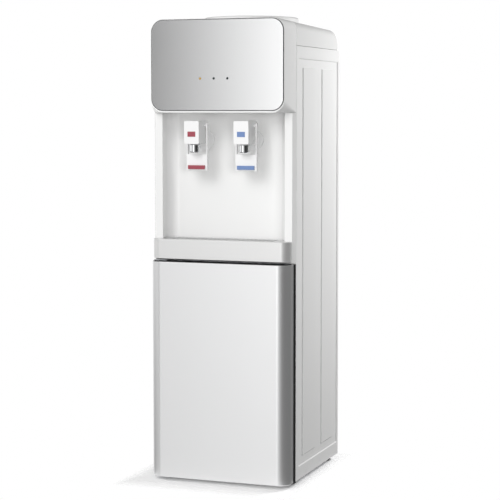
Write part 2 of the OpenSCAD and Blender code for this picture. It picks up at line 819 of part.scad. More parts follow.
// The probe stands in the neck, and its tube dips into the cold tank.
module feed_probe() color([0.85, 0.9, 0.95]) translate([0, seat_y, 0]) {
    tip_z = neck_step - 2;
    tube_z = cup_z - 48;
    difference() {
        rotate_extrude() polygon([[0, tip_z], [3, tip_z], [8.9, tip_z - 14], [8.9, cup_z + wall + eps],
            [12, cup_z + wall + eps], [12, cup_z + wall + 2], [8.9, cup_z + wall + 2], [8.9, tube_z], [0, tube_z]]);
        translate([0, 0, tube_z - 1]) cylinder(h = tip_z - 16 - tube_z, r = 6.5);
        translate([0, 0, tip_z - 20]) rotate([90, 0, 0]) cylinder(h = 40, r = 2.5, center = true);
    }
}

module seat_seal() color(dark) translate([0, seat_y, cup_z - 3]) difference() {
    cylinder(h = 3, r = neck_r - 3);
    translate([0, 0, -1]) cylinder(h = 5, r = 14);
}

// Taps: housing with wall flange and shank, chrome spout, tile, lever with its bar, stem and spring

spout_y = tap_y + 19.5;
head_y = tap_y + 0.4;
lever_y = tap_y + 29.5;
lever_pivot_r = 5;
lever_pivot_y = lever_y + lever_pivot_r;
lever_pivot_z = tap_z0 + 37;
lever_z0 = lever_pivot_z - lever_drop;
lever_lip = 8;
spout_len = 18;
chamber_z0 = tap_z0 + 6;
chamber_z1 = tap_z0 + head_h - 3;
shank_end = back_y + wall + 13;
tile_z = tap_z0 + 14.5;

module tap_body() {
    chamber_r = 8;
    passage_r = 4;
    difference() {
        union() {
            translate([0, 0, tap_z0 + head_h / 2]) in_xz(head_y, lever_y + 20.5 - head_y)
                round_rect(head_w, head_h, 2.5);
            translate([0, shank_end, shank_z]) rotate([90, 0, 0])
                cylinder(h = shank_end - lever_y - 20, r = shank_r);
            translate([0, back_y, shank_z - 2]) rotate([90, 0, 0]) cylinder(h = 4, r = 20);
        }
        translate([0, spout_y, chamber_z0]) cylinder(h = chamber_z1 - chamber_z0, r = chamber_r);
        translate([0, spout_y, tap_z0 - 1]) cylinder(h = 8, r = spout_bore);
        translate([0, shank_end + 1, shank_z]) rotate([90, 0, 0])
            cylinder(h = shank_end + 1 - spout_y, r = passage_r);
        box([-8.5 - fit, head_y - 1, tile_z - fit], [8.5 + fit, head_y + 1, tile_z + 10.5 + fit]);
        for (x = [-head_w / 2 - 1, head_w / 2 - 4])
            translate([x, lever_pivot_y, lever_pivot_z]) rotate([0, 90, 0]) cylinder(h = 5, r = pin_r + fit);
    }
}

module tap_bodies() color(white) for (x = [-tap_x, tap_x]) translate([x, 0, 0]) tap_body();

module tile() box([-8.5, tap_y, tile_z], [8.5, head_y + 1, tile_z + 10.5]);
module hot_tile() color(red) translate([-tap_x, 0, 0]) tile();
module cold_tile() color(blue) translate([tap_x, 0, 0]) tile();

module spouts() color(chrome) for (x = [-tap_x, tap_x]) translate([x, spout_y, tap_z0])
    rotate_extrude() polygon([[spout_bore, 0], [spout_r - 0.8, 0], [spout_r - 0.8, -1.5], [spout_r, -2.3],
        [spout_r, -spout_len + 2], [spout_r - 1.5, -spout_len], [spout_bore + 1.5, -spout_len],
        [spout_bore, -spout_len + 1.5]]);

// A stirrup: two arms that hang from pins in the head, and the plate that a cup pushes back.
module lever() color(white) {
    half = lever_w / 2;
    plate_top = tap_z0 - spout_len - 3;
    for (x = [-half, half - lever_t]) in_yz(x, lever_t) {
        translate([lever_pivot_y, lever_pivot_z]) circle(r = lever_pivot_r);
        polygon([[lever_y, lever_pivot_z], [lever_y + 2 * lever_pivot_r, lever_pivot_z],
            [lever_y + lever_lip, lever_z0 + 30], [lever_y + lever_lip, lever_z0], [lever_y, lever_z0]]);
    }
    box([-half + eps, lever_y, lever_z0], [half - eps, lever_y + lever_t, plate_top]);
    box([-half + eps, lever_y, lever_z0], [half - eps, lever_y + lever_lip, lever_z0 + 2]);
    for (x = [-half + lever_t - eps, head_w / 2 - 3])
        translate([x, lever_pivot_y, lever_pivot_z]) rotate([0, 90, 0])
            cylinder(h = half - lever_t - head_w / 2 + 3 + eps, r = pin_r);
}
module hot_lever() translate([-tap_x, 0, 0]) lever();
module cold_lever() translate([tap_x, 0, 0]) lever();

module bar() box([-18.35, lever_y - 4, lever_z0 + 3], [18.35, lever_y, lever_z0 + 11]);
module hot_bar() color(red) translate([-tap_x, 0, 0]) bar();
module cold_bar() color(blue) translate([tap_x, 0, 0]) bar();

stem_disc = 3;

module stem() color(steel) translate([0, spout_y, chamber_z0 + gap]) {
    cylinder(h = stem_disc, r = 7);
    cylinder(h = chamber_z1 - chamber_z0 - 4, r = 2.5);
}
module hot_stem() translate([-tap_x, 0, 0]) stem();
module cold_stem() translate([tap_x, 0, 0]) stem();

// The spring round a stem presses its disc on the outlet.
module stem_spring() color(steel) {
    r = 5;
    wire = 0.6;
    turns = 6;
    z0 = chamber_z0 + gap + stem_disc + wire + 0.1;
    z1 = chamber_z1 - wire - 0.1;
    tube_along([for (i = [0:8 * turns]) [r * cos(45 * i), spout_y + r * sin(45 * i), z0 + (z1 - z0) * i / (8 * turns)]],
        wire, 6);
}
module hot_spring() translate([-tap_x, 0, 0]) stem_spring();
module cold_spring() translate([tap_x, 0, 0]) stem_spring();

// Fittings on the rear panel: switch housing with two rockers, cord inlet, drain outlet and its cap

rocker_dx = 11;
rocker_half = 7;
rocker_tilt = 8;
drain_len = 10;
drain_tube_r = 7.5;

module rear_fittings() color(dark) {
    switch_depth = 18;
    difference() {
        union() {
            box([switch_x - switch_half - switch_lip, panel_y, fitting_z - switch_tall - switch_lip],
                [switch_x + switch_half + switch_lip, panel_y + 2.5, fitting_z + switch_tall + switch_lip]);
            box([switch_x - switch_half, panel_y - switch_depth, fitting_z - switch_tall],
                [switch_x + switch_half, panel_y + eps, fitting_z + switch_tall]);
        }
        for (x = [-rocker_dx, rocker_dx]) translate([switch_x + x, 0, fitting_z]) {
            box([-rocker_half - gap, panel_y - 7, -10.4], [rocker_half + gap, panel_y + 4, 10.4]);
            translate([-9, panel_y, 0]) rotate([0, 90, 0]) cylinder(h = 18, r = 1.5 + fit);
        }
    }
    translate([inlet_x, 0, fitting_z]) difference() {
        union() {
            translate([0, panel_y + 3, 0]) rotate([90, 0, 0]) cylinder(h = 3, r = 12);
            translate([0, panel_y + eps, 0]) rotate([90, 0, 0]) cylinder(h = 12, r = 7.9);
        }
        translate([0, panel_y + 4, 0]) rotate([90, 0, 0]) cylinder(h = 20, r = 4);
    }
    translate([drain_x, 0, fitting_z]) difference() {
        union() {
            translate([0, panel_y + 2, 0]) rotate([90, 0, 0]) cylinder(h = 2, r = 12);
            translate([0, panel_y + drain_len, 0]) rotate([90, 0, 0]) cylinder(h = 2 * drain_len, r = drain_tube_r);
        }
        translate([0, panel_y + drain_len + 1, 0]) rotate([90, 0, 0]) cylinder(h = 2 * drain_len + 2, r = 4.5);
    }
}

module rocker() translate([0, panel_y, fitting_z]) rotate([-rocker_tilt, 0, 0]) {
    in_yz(-rocker_half, 2 * rocker_half) polygon([[4, -9], [3, 0], [4, 9], [-4, 9], [-4, -9]]);
    translate([-8.5, 0, 0]) rotate([0, 90, 0]) cylinder(h = 17, r = 1.5);
}
module hot_rocker() color(red) translate([switch_x - rocker_dx, 0, 0]) rocker();
module cold_rocker() color([0.2, 0.5, 0.3]) translate([switch_x + rocker_dx, 0, 0]) rocker();

module drain_cap() color(dark) translate([drain_x, panel_y + 2 + gap, fitting_z]) rotate([-90, 0, 0]) difference() {
    union() {
        cylinder(h = drain_len + 1, r = drain_tube_r + 2.5);
        for (a = [0:30:330]) rotate([0, 0, a]) translate([drain_tube_r + 2.2, 0, 0]) cylinder(h = drain_len + 1, r = 0.9);
    }
    translate([0, 0, -1]) cylinder(h = drain_len - 1, r = drain_tube_r + fit);
}

// Cold tank, its coil, baffle and foam jacket

jacket_z0 = tank_deck_z + sheet_t;
tank_z0 = jacket_z0 + 16;
tank_z1 = tank_z0 + cold_h;
tank_t = 1.2;
port_r = 6;
port_drop = 22;

// A tank's pipe end, with its own bore.
module port(at, z, h) {
    translate([at.x, at.y, z]) cylinder(h = h, r = port_r);
}

module port_bore(at, z, h) {
    translate([at.x, at.y, z - 1]) cylinder(h = h + 2 * tank_t + 1, r = port_r - tank_t);
}

module cold_tank() color(steel) {
    ports = [[tap_x, cold_port_y], [0, tank_y]];
    collar_r = 23;
    difference() {
        union() {
            translate([0, tank_y, tank_z0]) cylinder(h = cold_h, r = cold_r);
            translate([0, tank_y, tank_z1 - eps]) cylinder(h = 2, r = cold_r + 4);
            translate([0, tank_y, tank_z1]) cylinder(h = cup_z - 3 - gap - tank_z1, r = collar_r + 3);
            for (p = ports) port(p, tank_z0 - port_drop, port_drop + eps);
        }
        translate([0, tank_y, tank_z0 + tank_t]) cylinder(h = cold_h - tank_t, r = cold_r - tank_t);
        translate([0, tank_y, tank_z1 - 1]) cylinder(h = 40, r = collar_r);
        for (p = ports) port_bore(p, tank_z0 - port_drop, port_drop);
    }
}

// The baffle splits warm water from chilled water and stands on its own tube.
module baffle() color(white) translate([0, tank_y, tank_z0 + tank_t]) difference() {
    union() {
        cylinder(h = cold_h / 2, r = 12);
        translate([0, 0, cold_h / 2 - 2]) cylinder(h = 3, r = cold_r - tank_t - 1);
    }
    translate([0, 0, -1]) cylinder(h = cold_h, r = 10);
    for (a = [0:60:300]) rotate([0, 0, a]) translate([cold_r - 20, 0, cold_h / 2 - 4]) cylinder(h = 8, r = 5);
}

coil_z0 = tank_z0 + 10;
coil_z1 = tank_z1 - 10;

function on_coil(angle, z, r = coil_r) = [r * cos(angle), tank_y + r * sin(angle), z];

module evaporator_coil() color(copper) {
    sweep = 360 * coil_turns + 14;
    steps = coil_rings * coil_turns;
    helix = [for (i = [0:steps]) on_coil(80 + sweep * i / steps, coil_z1 + (coil_z0 - coil_z1) * i / steps)];
    top = [suction.x, suction.y, coil_z0 - 0.5];
    low = [suction.x, suction.y, comp_top + 6];
    tube_along(concat(helix, corner(helix[steps], top, low, 5, 4), [low]), coil_tube_r, 6, [0.1, 0.2, 1]);
}

module foam_jacket() color(foam) {
    inner = coil_r + coil_tube_r + 1.5;
    jacket_t = 11;
    lip = 22;
    top_in = tank_z1 + 4;
    difference() {
        translate([0, tank_y, jacket_z0]) cylinder(h = top_in + lip - jacket_z0, r = inner + jacket_t);
        translate([0, tank_y, tank_z0]) cylinder(h = top_in - tank_z0, r = inner);
        translate([0, tank_y, top_in - 1]) cylinder(h = 30, r = neck_r + neck_wall + 2);
        for (p = [[tap_x, cold_port_y], [0, tank_y]]) hole_through(p, jacket_z0, port_r + 1);
        hole_through([suction.x, suction.y], jacket_z0, coil_tube_r + 1);
        translate([capillary.x, capillary.y, jacket_z0 - 1]) cylinder(h = tank_z1 - jacket_z0, r = 3.5);
        box([-gap / 2, tank_y - 120, jacket_z0 - 1], [gap / 2, tank_y + 120, top_in + 30]);
    }
}

// Hot tank with its heater band, thermostats and foam sleeve

hot_at = [-40, tank_y + 2];
hot_z0 = deck_z + sheet_t + 12;
hot_z1 = hot_z0 + hot_h;
hot_ports = [[-tap_x, hot_at.y - 40], [-30, tank_y]];
port_h = 4.5;

module hot_tank() color(steel) {
    difference() {
        union() {
            translate([hot_at.x, hot_at.y, hot_z0]) cylinder(h = hot_h, r = hot_r);
            for (a = [30:120:270]) translate([hot_at.x, hot_at.y, deck_z + sheet_t]) rotate([0, 0, a])
                translate([hot_r - 10, 0, 0]) cylinder(h = 12 + eps, r = 4);
            for (p = hot_ports) port(p, hot_z1 - eps, port_h);
            port([drain_x, drain_y], hot_z0 - 8, 8 + eps);
        }
        translate([hot_at.x, hot_at.y, hot_z0 + tank_t]) cylinder(h = hot_h - 2 * tank_t, r = hot_r - tank_t);
        for (p = hot_ports) port_bore(p, hot_z1 - 2 * tank_t, port_h + 2);
        port_bore([drain_x, drain_y], hot_z0 - 8, 8);
    }
}

module heater_band() color(dark) {
    translate([hot_at.x, hot_at.y, hot_z0 + 26]) difference() {
        cylinder(h = 44, r = hot_r + 3);
        translate([0, 0, -1]) cylinder(h = 46, r = hot_r + fit);
    }
    for (p = [[-22, 20], [6, 32]]) translate([hot_at.x + p.x, hot_at.y + p.y, hot_z1]) cylinder(h = 6, r = 7);
}

module hot_jacket() color(foam) translate([hot_at.x, hot_at.y, deck_z + sheet_t]) difference() {
    rise = 10;
    jacket_t = 12;
    inner = hot_r + 3 + gap;
    cylinder(h = hot_h + rise, r = inner + jacket_t - gap);
    translate([0, 0, -1]) cylinder(h = hot_h + rise + 2, r = inner);
}

module water_hoses() color([0.9, 0.9, 0.88]) {
    run_drop = 22;
    bend_room = 13;
    run_z = tank_deck_z - run_drop;
    drop_y = shank_end + bend_room;
    r = 10;
    tube_along(round_path([[-tap_x, shank_end, shank_z], [-tap_x, drop_y, shank_z], [-tap_x, drop_y, run_z],
        [-tap_x, hot_ports[0].y, run_z], [-tap_x, hot_ports[0].y, hot_z1 + port_h - eps]], r, 4), hose_r, 10);
    tube_along(round_path([[tap_x, shank_end, shank_z], [tap_x, drop_y, shank_z], [tap_x, drop_y, run_z],
        [tap_x, cold_port_y, run_z], [tap_x, cold_port_y, tank_z0 - port_drop]], r, 4), hose_r, 10);
    tube_along(round_path([[0, tank_y, tank_z0 - port_drop], [0, tank_y, run_z], [hot_ports[1].x, tank_y, run_z],
        [hot_ports[1].x, tank_y, hot_z1 + port_h - eps]], r, 4), hose_r, 10);
    tube_along(round_path([[drain_x, drain_y, hot_z0 - 8], [drain_x, drain_y, fitting_z],
        [drain_x, panel_y - drain_len, fitting_z]], 14, 5), hose_r, 10);
}

// Compressor in the rear compartment, condenser on the rear panel, drier and capillary tube

comp_z0 = foot_h + sheet_t + 12;
comp_plate = 2.5;
comp_top = comp_z0 + comp_plate + comp_h;
discharge = [5, 127];

module compressor() color(dark) {
    translate([comp_x, comp_y, comp_z0 + comp_plate]) {
        rotate_extrude() intersection() {
            translate([0, comp_h / 2]) round_rect(2 * comp_r, comp_h, 24);
            translate([0, -1]) square([comp_r + 1, comp_h + 2]);
        }
        translate([0, 0, comp_h * 0.55]) cylinder(h = 5, r = comp_r + 2);
    }
    for (p = [suction, discharge]) translate([p.x, p.y, comp_top - 3]) cylinder(h = 9, r = coil_tube_r + 1.5);
    difference() {
        translate([comp_x, comp_y, comp_z0 + comp_plate / 2])
            cube([2 * mount_x + 18, 2 * mount_y + 18, comp_plate], center = true);
        at_comp_mounts() translate([0, 0, comp_z0 - 1]) cylinder(h = comp_plate + 2, r = 4);
    }
}

// Rubber mounts, each with the bolt that clamps it to the base pan.
module compressor_mounts() color(dark) at_comp_mounts() {
    pan_top = foot_h + sheet_t;
    rotate_extrude() polygon([[0, foot_h], [bolt_r, foot_h], [bolt_r, pan_top], [9, pan_top], [9, comp_z0],
        [4 - fit, comp_z0], [4 - fit, comp_z0 + comp_plate], [8, comp_z0 + comp_plate],
        [8, comp_z0 + comp_plate + 2], [0, comp_z0 + comp_plate + 2]]);
}

module relay_cover() color(white) difference() {
    box([comp_x - comp_r - 20, comp_y - 20, comp_z0 + 32], [comp_x - comp_r + 8, comp_y + 20, comp_z0 + 76]);
    translate([comp_x, comp_y, 0]) cylinder(h = 400, r = comp_r + fit);
}

drier_in = 15;
drier_at = [-(inner_x - drier_in), 118];
drier_z = 100;
drier_h = 72;

// One tube from the compressor to the drier, laid in passes across the rear.
module condenser_tube() color(dark) {
    y = condenser_y;
    z1 = pass_z0 + (passes - 1) * pass_pitch;
    turns = [for (i = [0:passes - 2])
        let (x = (i % 2 == 0 ? 1 : -1) * (straight_x + bend_r))
        let (z = pass_z0 + i * pass_pitch)
        each [[x, y, z], [x, y, z + pass_pitch]]];
    tail_rise = 24;
    tail = [[drier_at.x, y, z1], [drier_at.x, y, drier_z + drier_h + tail_rise],
        [drier_at.x, drier_at.y, drier_z + drier_h + tail_rise], [drier_at.x, drier_at.y, drier_z + drier_h]];
    head = [[discharge.x, discharge.y, comp_top + 6], [discharge.x, discharge.y, comp_top + 22],
        [discharge.x, y, comp_top + 22], [discharge.x, y, pass_z0]];
    points = concat(head, turns, tail);
    last = len(points) - 1;
    tube_along(concat([points[0]],
        [for (i = [1:last - 1]) each corner(points[i - 1], points[i], points[i + 1],
            i < len(head) || i > last - 4 ? 9 : bend_r, 3)],
        [points[last]]), tube_r, 8);
}

module condenser_wires() color(dark) {
    reach = saddle_x - 6;
    z0 = pass_z0 - 10;
    z1 = pass_z0 + (passes - 1) * pass_pitch + 10;
    for (s = [-1, 1], i = [0:wires - 1])
        translate([-reach + 2 * reach * i / (wires - 1), condenser_y + s * (tube_r + wire_r + 0.1), z0])
            cylinder(h = z1 - z0, r = wire_r, $fn = 16);
}

module filter_drier() color(copper) {
    low = [drier_at.x, drier_at.y, drier_z];
    cross_z = comp_top + 32;
    side_x = drier_at.x + 18;
    dip = 16;
    translate([0, 0, drier_z]) translate([drier_at.x, drier_at.y, 0])
        rotate_extrude() polygon([[0, 0], [3, 0], [9, 12], [9, drier_h - 12], [4, drier_h], [0, drier_h]]);
    tube_along(round_path([on_coil(80, coil_z1), on_coil(76, coil_z1), on_coil(76, coil_z1, coil_r + 7),
        [capillary.x, capillary.y, cross_z], [side_x, capillary.y, cross_z], [side_x, capillary.y, drier_z - dip],
        [low.x, low.y, drier_z - dip], low], 2.4, 3), 1.2, 6);
}

module nuts_and_screws() color(steel) {
    nut_across = 24;
    top_row = 24;
    rows = [20, 220, 420];
    for (x = [-tap_x, tap_x]) translate([x, back_y + wall, shank_z]) rotate([-90, 0, 0]) nut(nut_across, 8, shank_r + fit);
    for (x = [-1, 1], z = [for (r = rows) rear_z0 + r, side_z1 - top_row])
        translate([x * (inner_x - 7), panel_y, z]) rotate([-90, 0, 0]) cylinder(h = 2.2, r = 3.6);
}

base_pan();
levelling_feet();
left_side_panel();
right_side_panel();
rear_panel();
cross_members();
top_cover();
front_hood();
fascia_plate();
plate_trim();
led_lenses();
circuit_boards();
alcove_panel();
cabinet_liner();
shelf();
hinge_brackets();
magnet_catch();
compressor();
compressor_mounts();
relay_cover();
condenser_tube();
condenser_wires();
filter_drier();
evaporator_coil();
cold_tank();
baffle();
foam_jacket();
hot_tank();
heater_band();
hot_jacket();
water_hoses();
rear_fittings();
nuts_and_screws();
tap_bodies();
spouts();
hot_tile();
cold_tile();
door_shell();
door_liner();
door_seal();
hinge_bushes();
drip_tray();
tray_front();
drip_grille();
bottle_seat();
feed_probe();
seat_seal();
hot_lever();
cold_lever();
hot_bar();
cold_bar();
hot_stem();
cold_stem();
hot_spring();
cold_spring();
hot_rocker();
cold_rocker();
drain_cap();
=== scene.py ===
import math

import bmesh
import bpy
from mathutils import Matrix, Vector


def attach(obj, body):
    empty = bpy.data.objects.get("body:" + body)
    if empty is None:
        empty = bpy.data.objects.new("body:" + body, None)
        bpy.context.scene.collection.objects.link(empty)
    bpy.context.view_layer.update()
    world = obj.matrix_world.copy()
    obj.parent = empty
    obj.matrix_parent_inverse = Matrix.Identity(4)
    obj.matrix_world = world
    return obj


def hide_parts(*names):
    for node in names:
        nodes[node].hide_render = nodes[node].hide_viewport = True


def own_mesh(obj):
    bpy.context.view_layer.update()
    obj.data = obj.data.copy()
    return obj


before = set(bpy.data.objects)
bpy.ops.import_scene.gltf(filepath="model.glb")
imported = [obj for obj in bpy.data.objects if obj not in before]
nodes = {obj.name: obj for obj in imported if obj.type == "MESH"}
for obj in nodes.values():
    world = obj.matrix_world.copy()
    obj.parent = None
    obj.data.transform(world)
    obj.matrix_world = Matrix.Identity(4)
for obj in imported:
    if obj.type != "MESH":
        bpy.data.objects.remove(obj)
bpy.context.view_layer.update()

# Studio: a camera to the right of the front, aimed a little down. The camera itself sees a white surround, and
# glossy faces mirror soft bands of light and dark, set by direction. Five area lights don't show in mirrors.
# The pale floor is a patch under the dispenser that fades out at its edges.
def placed(name, data):
    thing = bpy.data.objects.new(name, data)
    bpy.context.collection.objects.link(thing)
    return thing


camera_data = bpy.data.cameras.new("studio_camera")
camera_data.sensor_width = 36
camera_data.lens = 114.6
camera_data.shift_y = -0.045
camera_data.clip_end = 50
camera = placed("studio_camera", camera_data)
camera.location = (1.1748, -3.1591, 0.7673)
camera.rotation_euler = (math.radians(85.8013), 0, math.radians(20.232))
bpy.context.scene.camera = camera
bpy.context.scene.view_settings.view_transform = "Standard"


def softbox(name, place, target, power, wide, high):
    data = bpy.data.lights.new(name, "AREA")
    data.shape = "RECTANGLE"
    data.size = wide
    data.size_y = high
    data.energy = power
    light = placed(name, data)
    light.location = place
    light.rotation_euler = (Vector(target) - Vector(place)).to_track_quat("-Z", "Y").to_euler()
    light.visible_glossy = False


softbox("front_softbox", (-0.3, -2.3, 1.8), (0, -0.1, 0.5), 22, wide=1.2, high=1.2)
softbox("low_softbox", (1.6, -2.6, 0.8), (0, -0.1, 0.6), 31, wide=1.2, high=1.0)
softbox("side_softbox", (1.0, 1.0, 1.05), (0.15, 0.05, 0.7), 24, wide=0.5, high=0.5)
softbox("left_softbox", (-1.8, -0.4, 1.0), (0, 0, 0.5), 6, wide=1.2, high=1.6)
softbox("rear_softbox", (-0.6, 2.4, 1.0), (0, 0.1, 0.6), 12, wide=1.6, high=1.4)

world = bpy.data.worlds.new("studio_surround")
world.use_nodes = True
bpy.context.scene.world = world
surround = world.node_tree
heading = surround.nodes.new("ShaderNodeTexCoord")
parts = surround.nodes.new("ShaderNodeSeparateXYZ")
surround.links.new(heading.outputs["Generated"], parts.inputs["Vector"])
backwards = surround.nodes.new("ShaderNodeMath")
backwards.operation = "MULTIPLY"
backwards.inputs[1].default_value = -1
surround.links.new(parts.outputs["Y"], backwards.inputs[0])
bearing = surround.nodes.new("ShaderNodeMath")
bearing.operation = "ARCTAN2"
surround.links.new(parts.outputs["X"], bearing.inputs[0])
surround.links.new(backwards.outputs["Value"], bearing.inputs[1])
compass = surround.nodes.new("ShaderNodeMapRange")
compass.inputs["From Min"].default_value = -math.pi
compass.inputs["From Max"].default_value = math.pi
surround.links.new(bearing.outputs["Value"], compass.inputs["Value"])
bands = {"level": ((-180, 1.0), (-60, 0.95), (-40, 0.8), (-31, 0.1), (-25, 0.03), (-18.8, 1.5), (-15, 2.6),
                   (-8, 2.2), (-2, 1.0), (6, 0.6), (20, 0.3), (30, 0.05), (62, 0.03), (80, 0.12), (134, 0.1),
                   (180, 0.2)),
         "under": ((-180, 1.0), (-140, 1.0), (-100, 0.1), (-30, 0.4), (-12, 1.0), (-2, 0.6), (5, 0.5),
                   (36, 0.15), (67, 0.1), (134, 0.1), (180, 0.2)),
         "over": ((-180, 0.05), (-100, 0.3), (-20, 1.1), (5, 0.5), (20, 0.25), (67, 0.1), (180, 0.05))}
cards = {}
for band, stops in bands.items():
    card = surround.nodes.new("ShaderNodeValToRGB")
    while len(card.color_ramp.elements) < len(stops):
        card.color_ramp.elements.new(0.5)
    for stop, (azimuth, level) in zip(card.color_ramp.elements, stops):
        stop.position = (azimuth + 180) / 360
        stop.color = (level, level, level, 1)
    surround.links.new(compass.outputs["Result"], card.inputs["Fac"])
    cards[band] = card.outputs["Color"]


def band_mix(low, high, start, end):
    share = surround.nodes.new("ShaderNodeMapRange")
    share.inputs["From Min"].default_value = start
    share.inputs["From Max"].default_value = end
    surround.links.new(parts.outputs["Z"], share.inputs["Value"])
    mix = surround.nodes.new("ShaderNodeMixRGB")
    surround.links.new(share.outputs["Result"], mix.inputs["Fac"])
    surround.links.new(low, mix.inputs["Color1"])
    surround.links.new(high, mix.inputs["Color2"])
    return mix.outputs["Color"]


lower = band_mix(cards["under"], cards["level"], -0.2, -0.02)
mirrored = band_mix(lower, cards["over"], 0.09, 0.3)
ray = surround.nodes.new("ShaderNodeLightPath")
sweep = surround.nodes.new("ShaderNodeMixRGB")
sweep.inputs["Color2"].default_value = (1, 1, 1, 1)
surround.links.new(ray.outputs["Is Camera Ray"], sweep.inputs["Fac"])
surround.links.new(mirrored, sweep.inputs["Color1"])
surround.links.new(sweep.outputs["Color"], surround.nodes["Background"].inputs["Color"])


def mesh_piece(name, points, faces):
    mesh = bpy.data.meshes.new(name)
    mesh.from_pydata([tuple(p) for p in points], [], faces)
    mesh.validate()
    return placed(name, mesh)


floor_left, floor_right, floor_reach = -0.21, 0.175, 0.23
floor = mesh_piece("studio_floor", [(floor_left, -floor_reach, 0), (floor_right, -floor_reach, 0),
                                    (floor_right, floor_reach, 0), (floor_left, floor_reach, 0)], [(0, 1, 2, 3)])
floor_paint = bpy.data.materials.new("floor_paint")
floor_paint.use_nodes = True
floor_shader = floor_paint.node_tree.nodes["Principled BSDF"]
floor_shader.inputs["Base Color"].default_value = (0.97, 0.97, 0.97, 1)
floor_shader.inputs["Roughness"].default_value = 0.9
floor_shader.inputs["Emission Color"].default_value = (1, 1, 1, 1)
floor_shader.inputs["Emission Strength"].default_value = 0.06
floor_nodes, floor_links = floor_paint.node_tree.nodes, floor_paint.node_tree.links
floor_place = floor_nodes.new("ShaderNodeTexCoord")
floor_parts = floor_nodes.new("ShaderNodeSeparateXYZ")
floor_links.new(floor_place.outputs["Object"], floor_parts.inputs["Vector"])
fades = []
floor_middle = (floor_left + floor_right) / 2
for axis, middle, near, far in (("X", floor_middle, 0.165, floor_right - floor_middle), ("Y", 0, 0.17, floor_reach)):
    offset = floor_nodes.new("ShaderNodeMath")
    offset.operation = "SUBTRACT"
    offset.inputs[1].default_value = middle
    floor_links.new(floor_parts.outputs[axis], offset.inputs[0])
    reach = floor_nodes.new("ShaderNodeMath")
    reach.operation = "ABSOLUTE"
    floor_links.new(offset.outputs["Value"], reach.inputs[0])
    fade = floor_nodes.new("ShaderNodeMapRange")
    fade.inputs["From Min"].default_value = near
    fade.inputs["From Max"].default_value = far
    floor_links.new(reach.outputs["Value"], fade.inputs["Value"])
    fades.append(fade)
farthest = floor_nodes.new("ShaderNodeMath")
farthest.operation = "MAXIMUM"
for fade, socket in zip(fades, farthest.inputs):
    floor_links.new(fade.outputs["Result"], socket)
cover = floor_nodes.new("ShaderNodeMapRange")
cover.inputs["To Min"].default_value = 1
cover.inputs["To Max"].default_value = 0
floor_links.new(farthest.outputs["Value"], cover.inputs["Value"])
floor_links.new(cover.outputs["Result"], floor_shader.inputs["Alpha"])
floor.data.materials.append(floor_paint)


# Side panels: white powder-coated sheet steel, pressed with a sunk field and two raised vertical panels.
# Each is one sheet, folded round at the front and rear edges. The left panel is the right one mirrored. The front
# fold is painted black beside the door: painted shade for the dark gap between the door and the panel.
def finish(name, colour, rough, grain=400, bump=0.05, depth=0.0002, metal=0.0, mottle=0.0, spread=0.06,
           coat=0.0, stretch=(1, 1, 1)):
    paint = bpy.data.materials.new(name)
    paint.use_nodes = True
    tree = paint.node_tree
    shader = tree.nodes["Principled BSDF"]
    for label, value in (("Base Color", (*colour, 1)), ("Metallic", metal), ("Coat Weight", coat),
                         ("Coat Roughness", 0.08)):
        shader.inputs[label].default_value = value
    place = tree.nodes.new("ShaderNodeTexCoord")
    turn = tree.nodes.new("ShaderNodeMapping")
    turn.inputs["Scale"].default_value = stretch
    tree.links.new(place.outputs["Object"], turn.inputs["Vector"])
    fine = tree.nodes.new("ShaderNodeTexNoise")
    fine.inputs["Scale"].default_value = grain
    fine.inputs["Detail"].default_value = 3
    tree.links.new(turn.outputs["Vector"], fine.inputs["Vector"])
    relief = tree.nodes.new("ShaderNodeBump")
    relief.inputs["Strength"].default_value = bump
    relief.inputs["Distance"].default_value = depth
    tree.links.new(fine.outputs["Fac"], relief.inputs["Height"])
    tree.links.new(relief.outputs["Normal"], shader.inputs["Normal"])
    broad = tree.nodes.new("ShaderNodeTexNoise")
    broad.inputs["Scale"].default_value = 9
    broad.inputs["Detail"].default_value = 4
    tree.links.new(place.outputs["Object"], broad.inputs["Vector"])
    shine = tree.nodes.new("ShaderNodeMapRange")
    shine.inputs["To Min"].default_value = max(rough - spread, 0.02)
    shine.inputs["To Max"].default_value = rough + spread
    tree.links.new(broad.outputs["Fac"], shine.inputs["Value"])
    tree.links.new(shine.outputs["Result"], shader.inputs["Roughness"])
    if mottle:
        tint = tree.nodes.new("ShaderNodeValToRGB")
        tint.color_ramp.elements[0].position = 0.3
        tint.color_ramp.elements[1].position = 0.7
        tint.color_ramp.elements[0].color = (*[c * (1 - mottle) for c in colour], 1)
        tint.color_ramp.elements[1].color = (*[min(c * (1 + mottle * 0.5), 1) for c in colour], 1)
        tree.links.new(broad.outputs["Fac"], tint.inputs["Fac"])
        tree.links.new(tint.outputs["Color"], shader.inputs["Base Color"])
    return paint


def baked(piece):
    graph = bpy.context.evaluated_depsgraph_get()
    mesh = bpy.data.meshes.new_from_object(piece.evaluated_get(graph))
    old = piece.data
    piece.modifiers.clear()
    piece.data = mesh
    bpy.data.meshes.remove(old)
    return piece


def dressed(piece, paint, node, body="cabinet", angle=30):
    mesh = piece.data
    mesh.materials.clear()
    mesh.materials.append(paint)
    mesh.polygons.foreach_set("material_index", [0] * len(mesh.polygons))
    mesh.polygons.foreach_set("use_smooth", [True] * len(mesh.polygons))
    mesh.set_sharp_from_angle(angle=math.radians(angle))
    mesh.update()
    level = piece.modifiers.new("level", "WEIGHTED_NORMAL")
    level.keep_sharp = True
    level.weight = 90
    baked(piece)
    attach(piece, body)
    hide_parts(node)
    return piece


def second_paint(piece, paint, chosen):
    piece.data.materials.append(paint)
    for face in piece.data.polygons:
        if chosen(face):
            face.material_index = 1


def thick(piece, amount):
    wall = piece.modifiers.new("wall", "SOLIDIFY")
    wall.thickness = amount
    wall.offset = -1
    wall.use_even_offset = True
    return baked(piece)


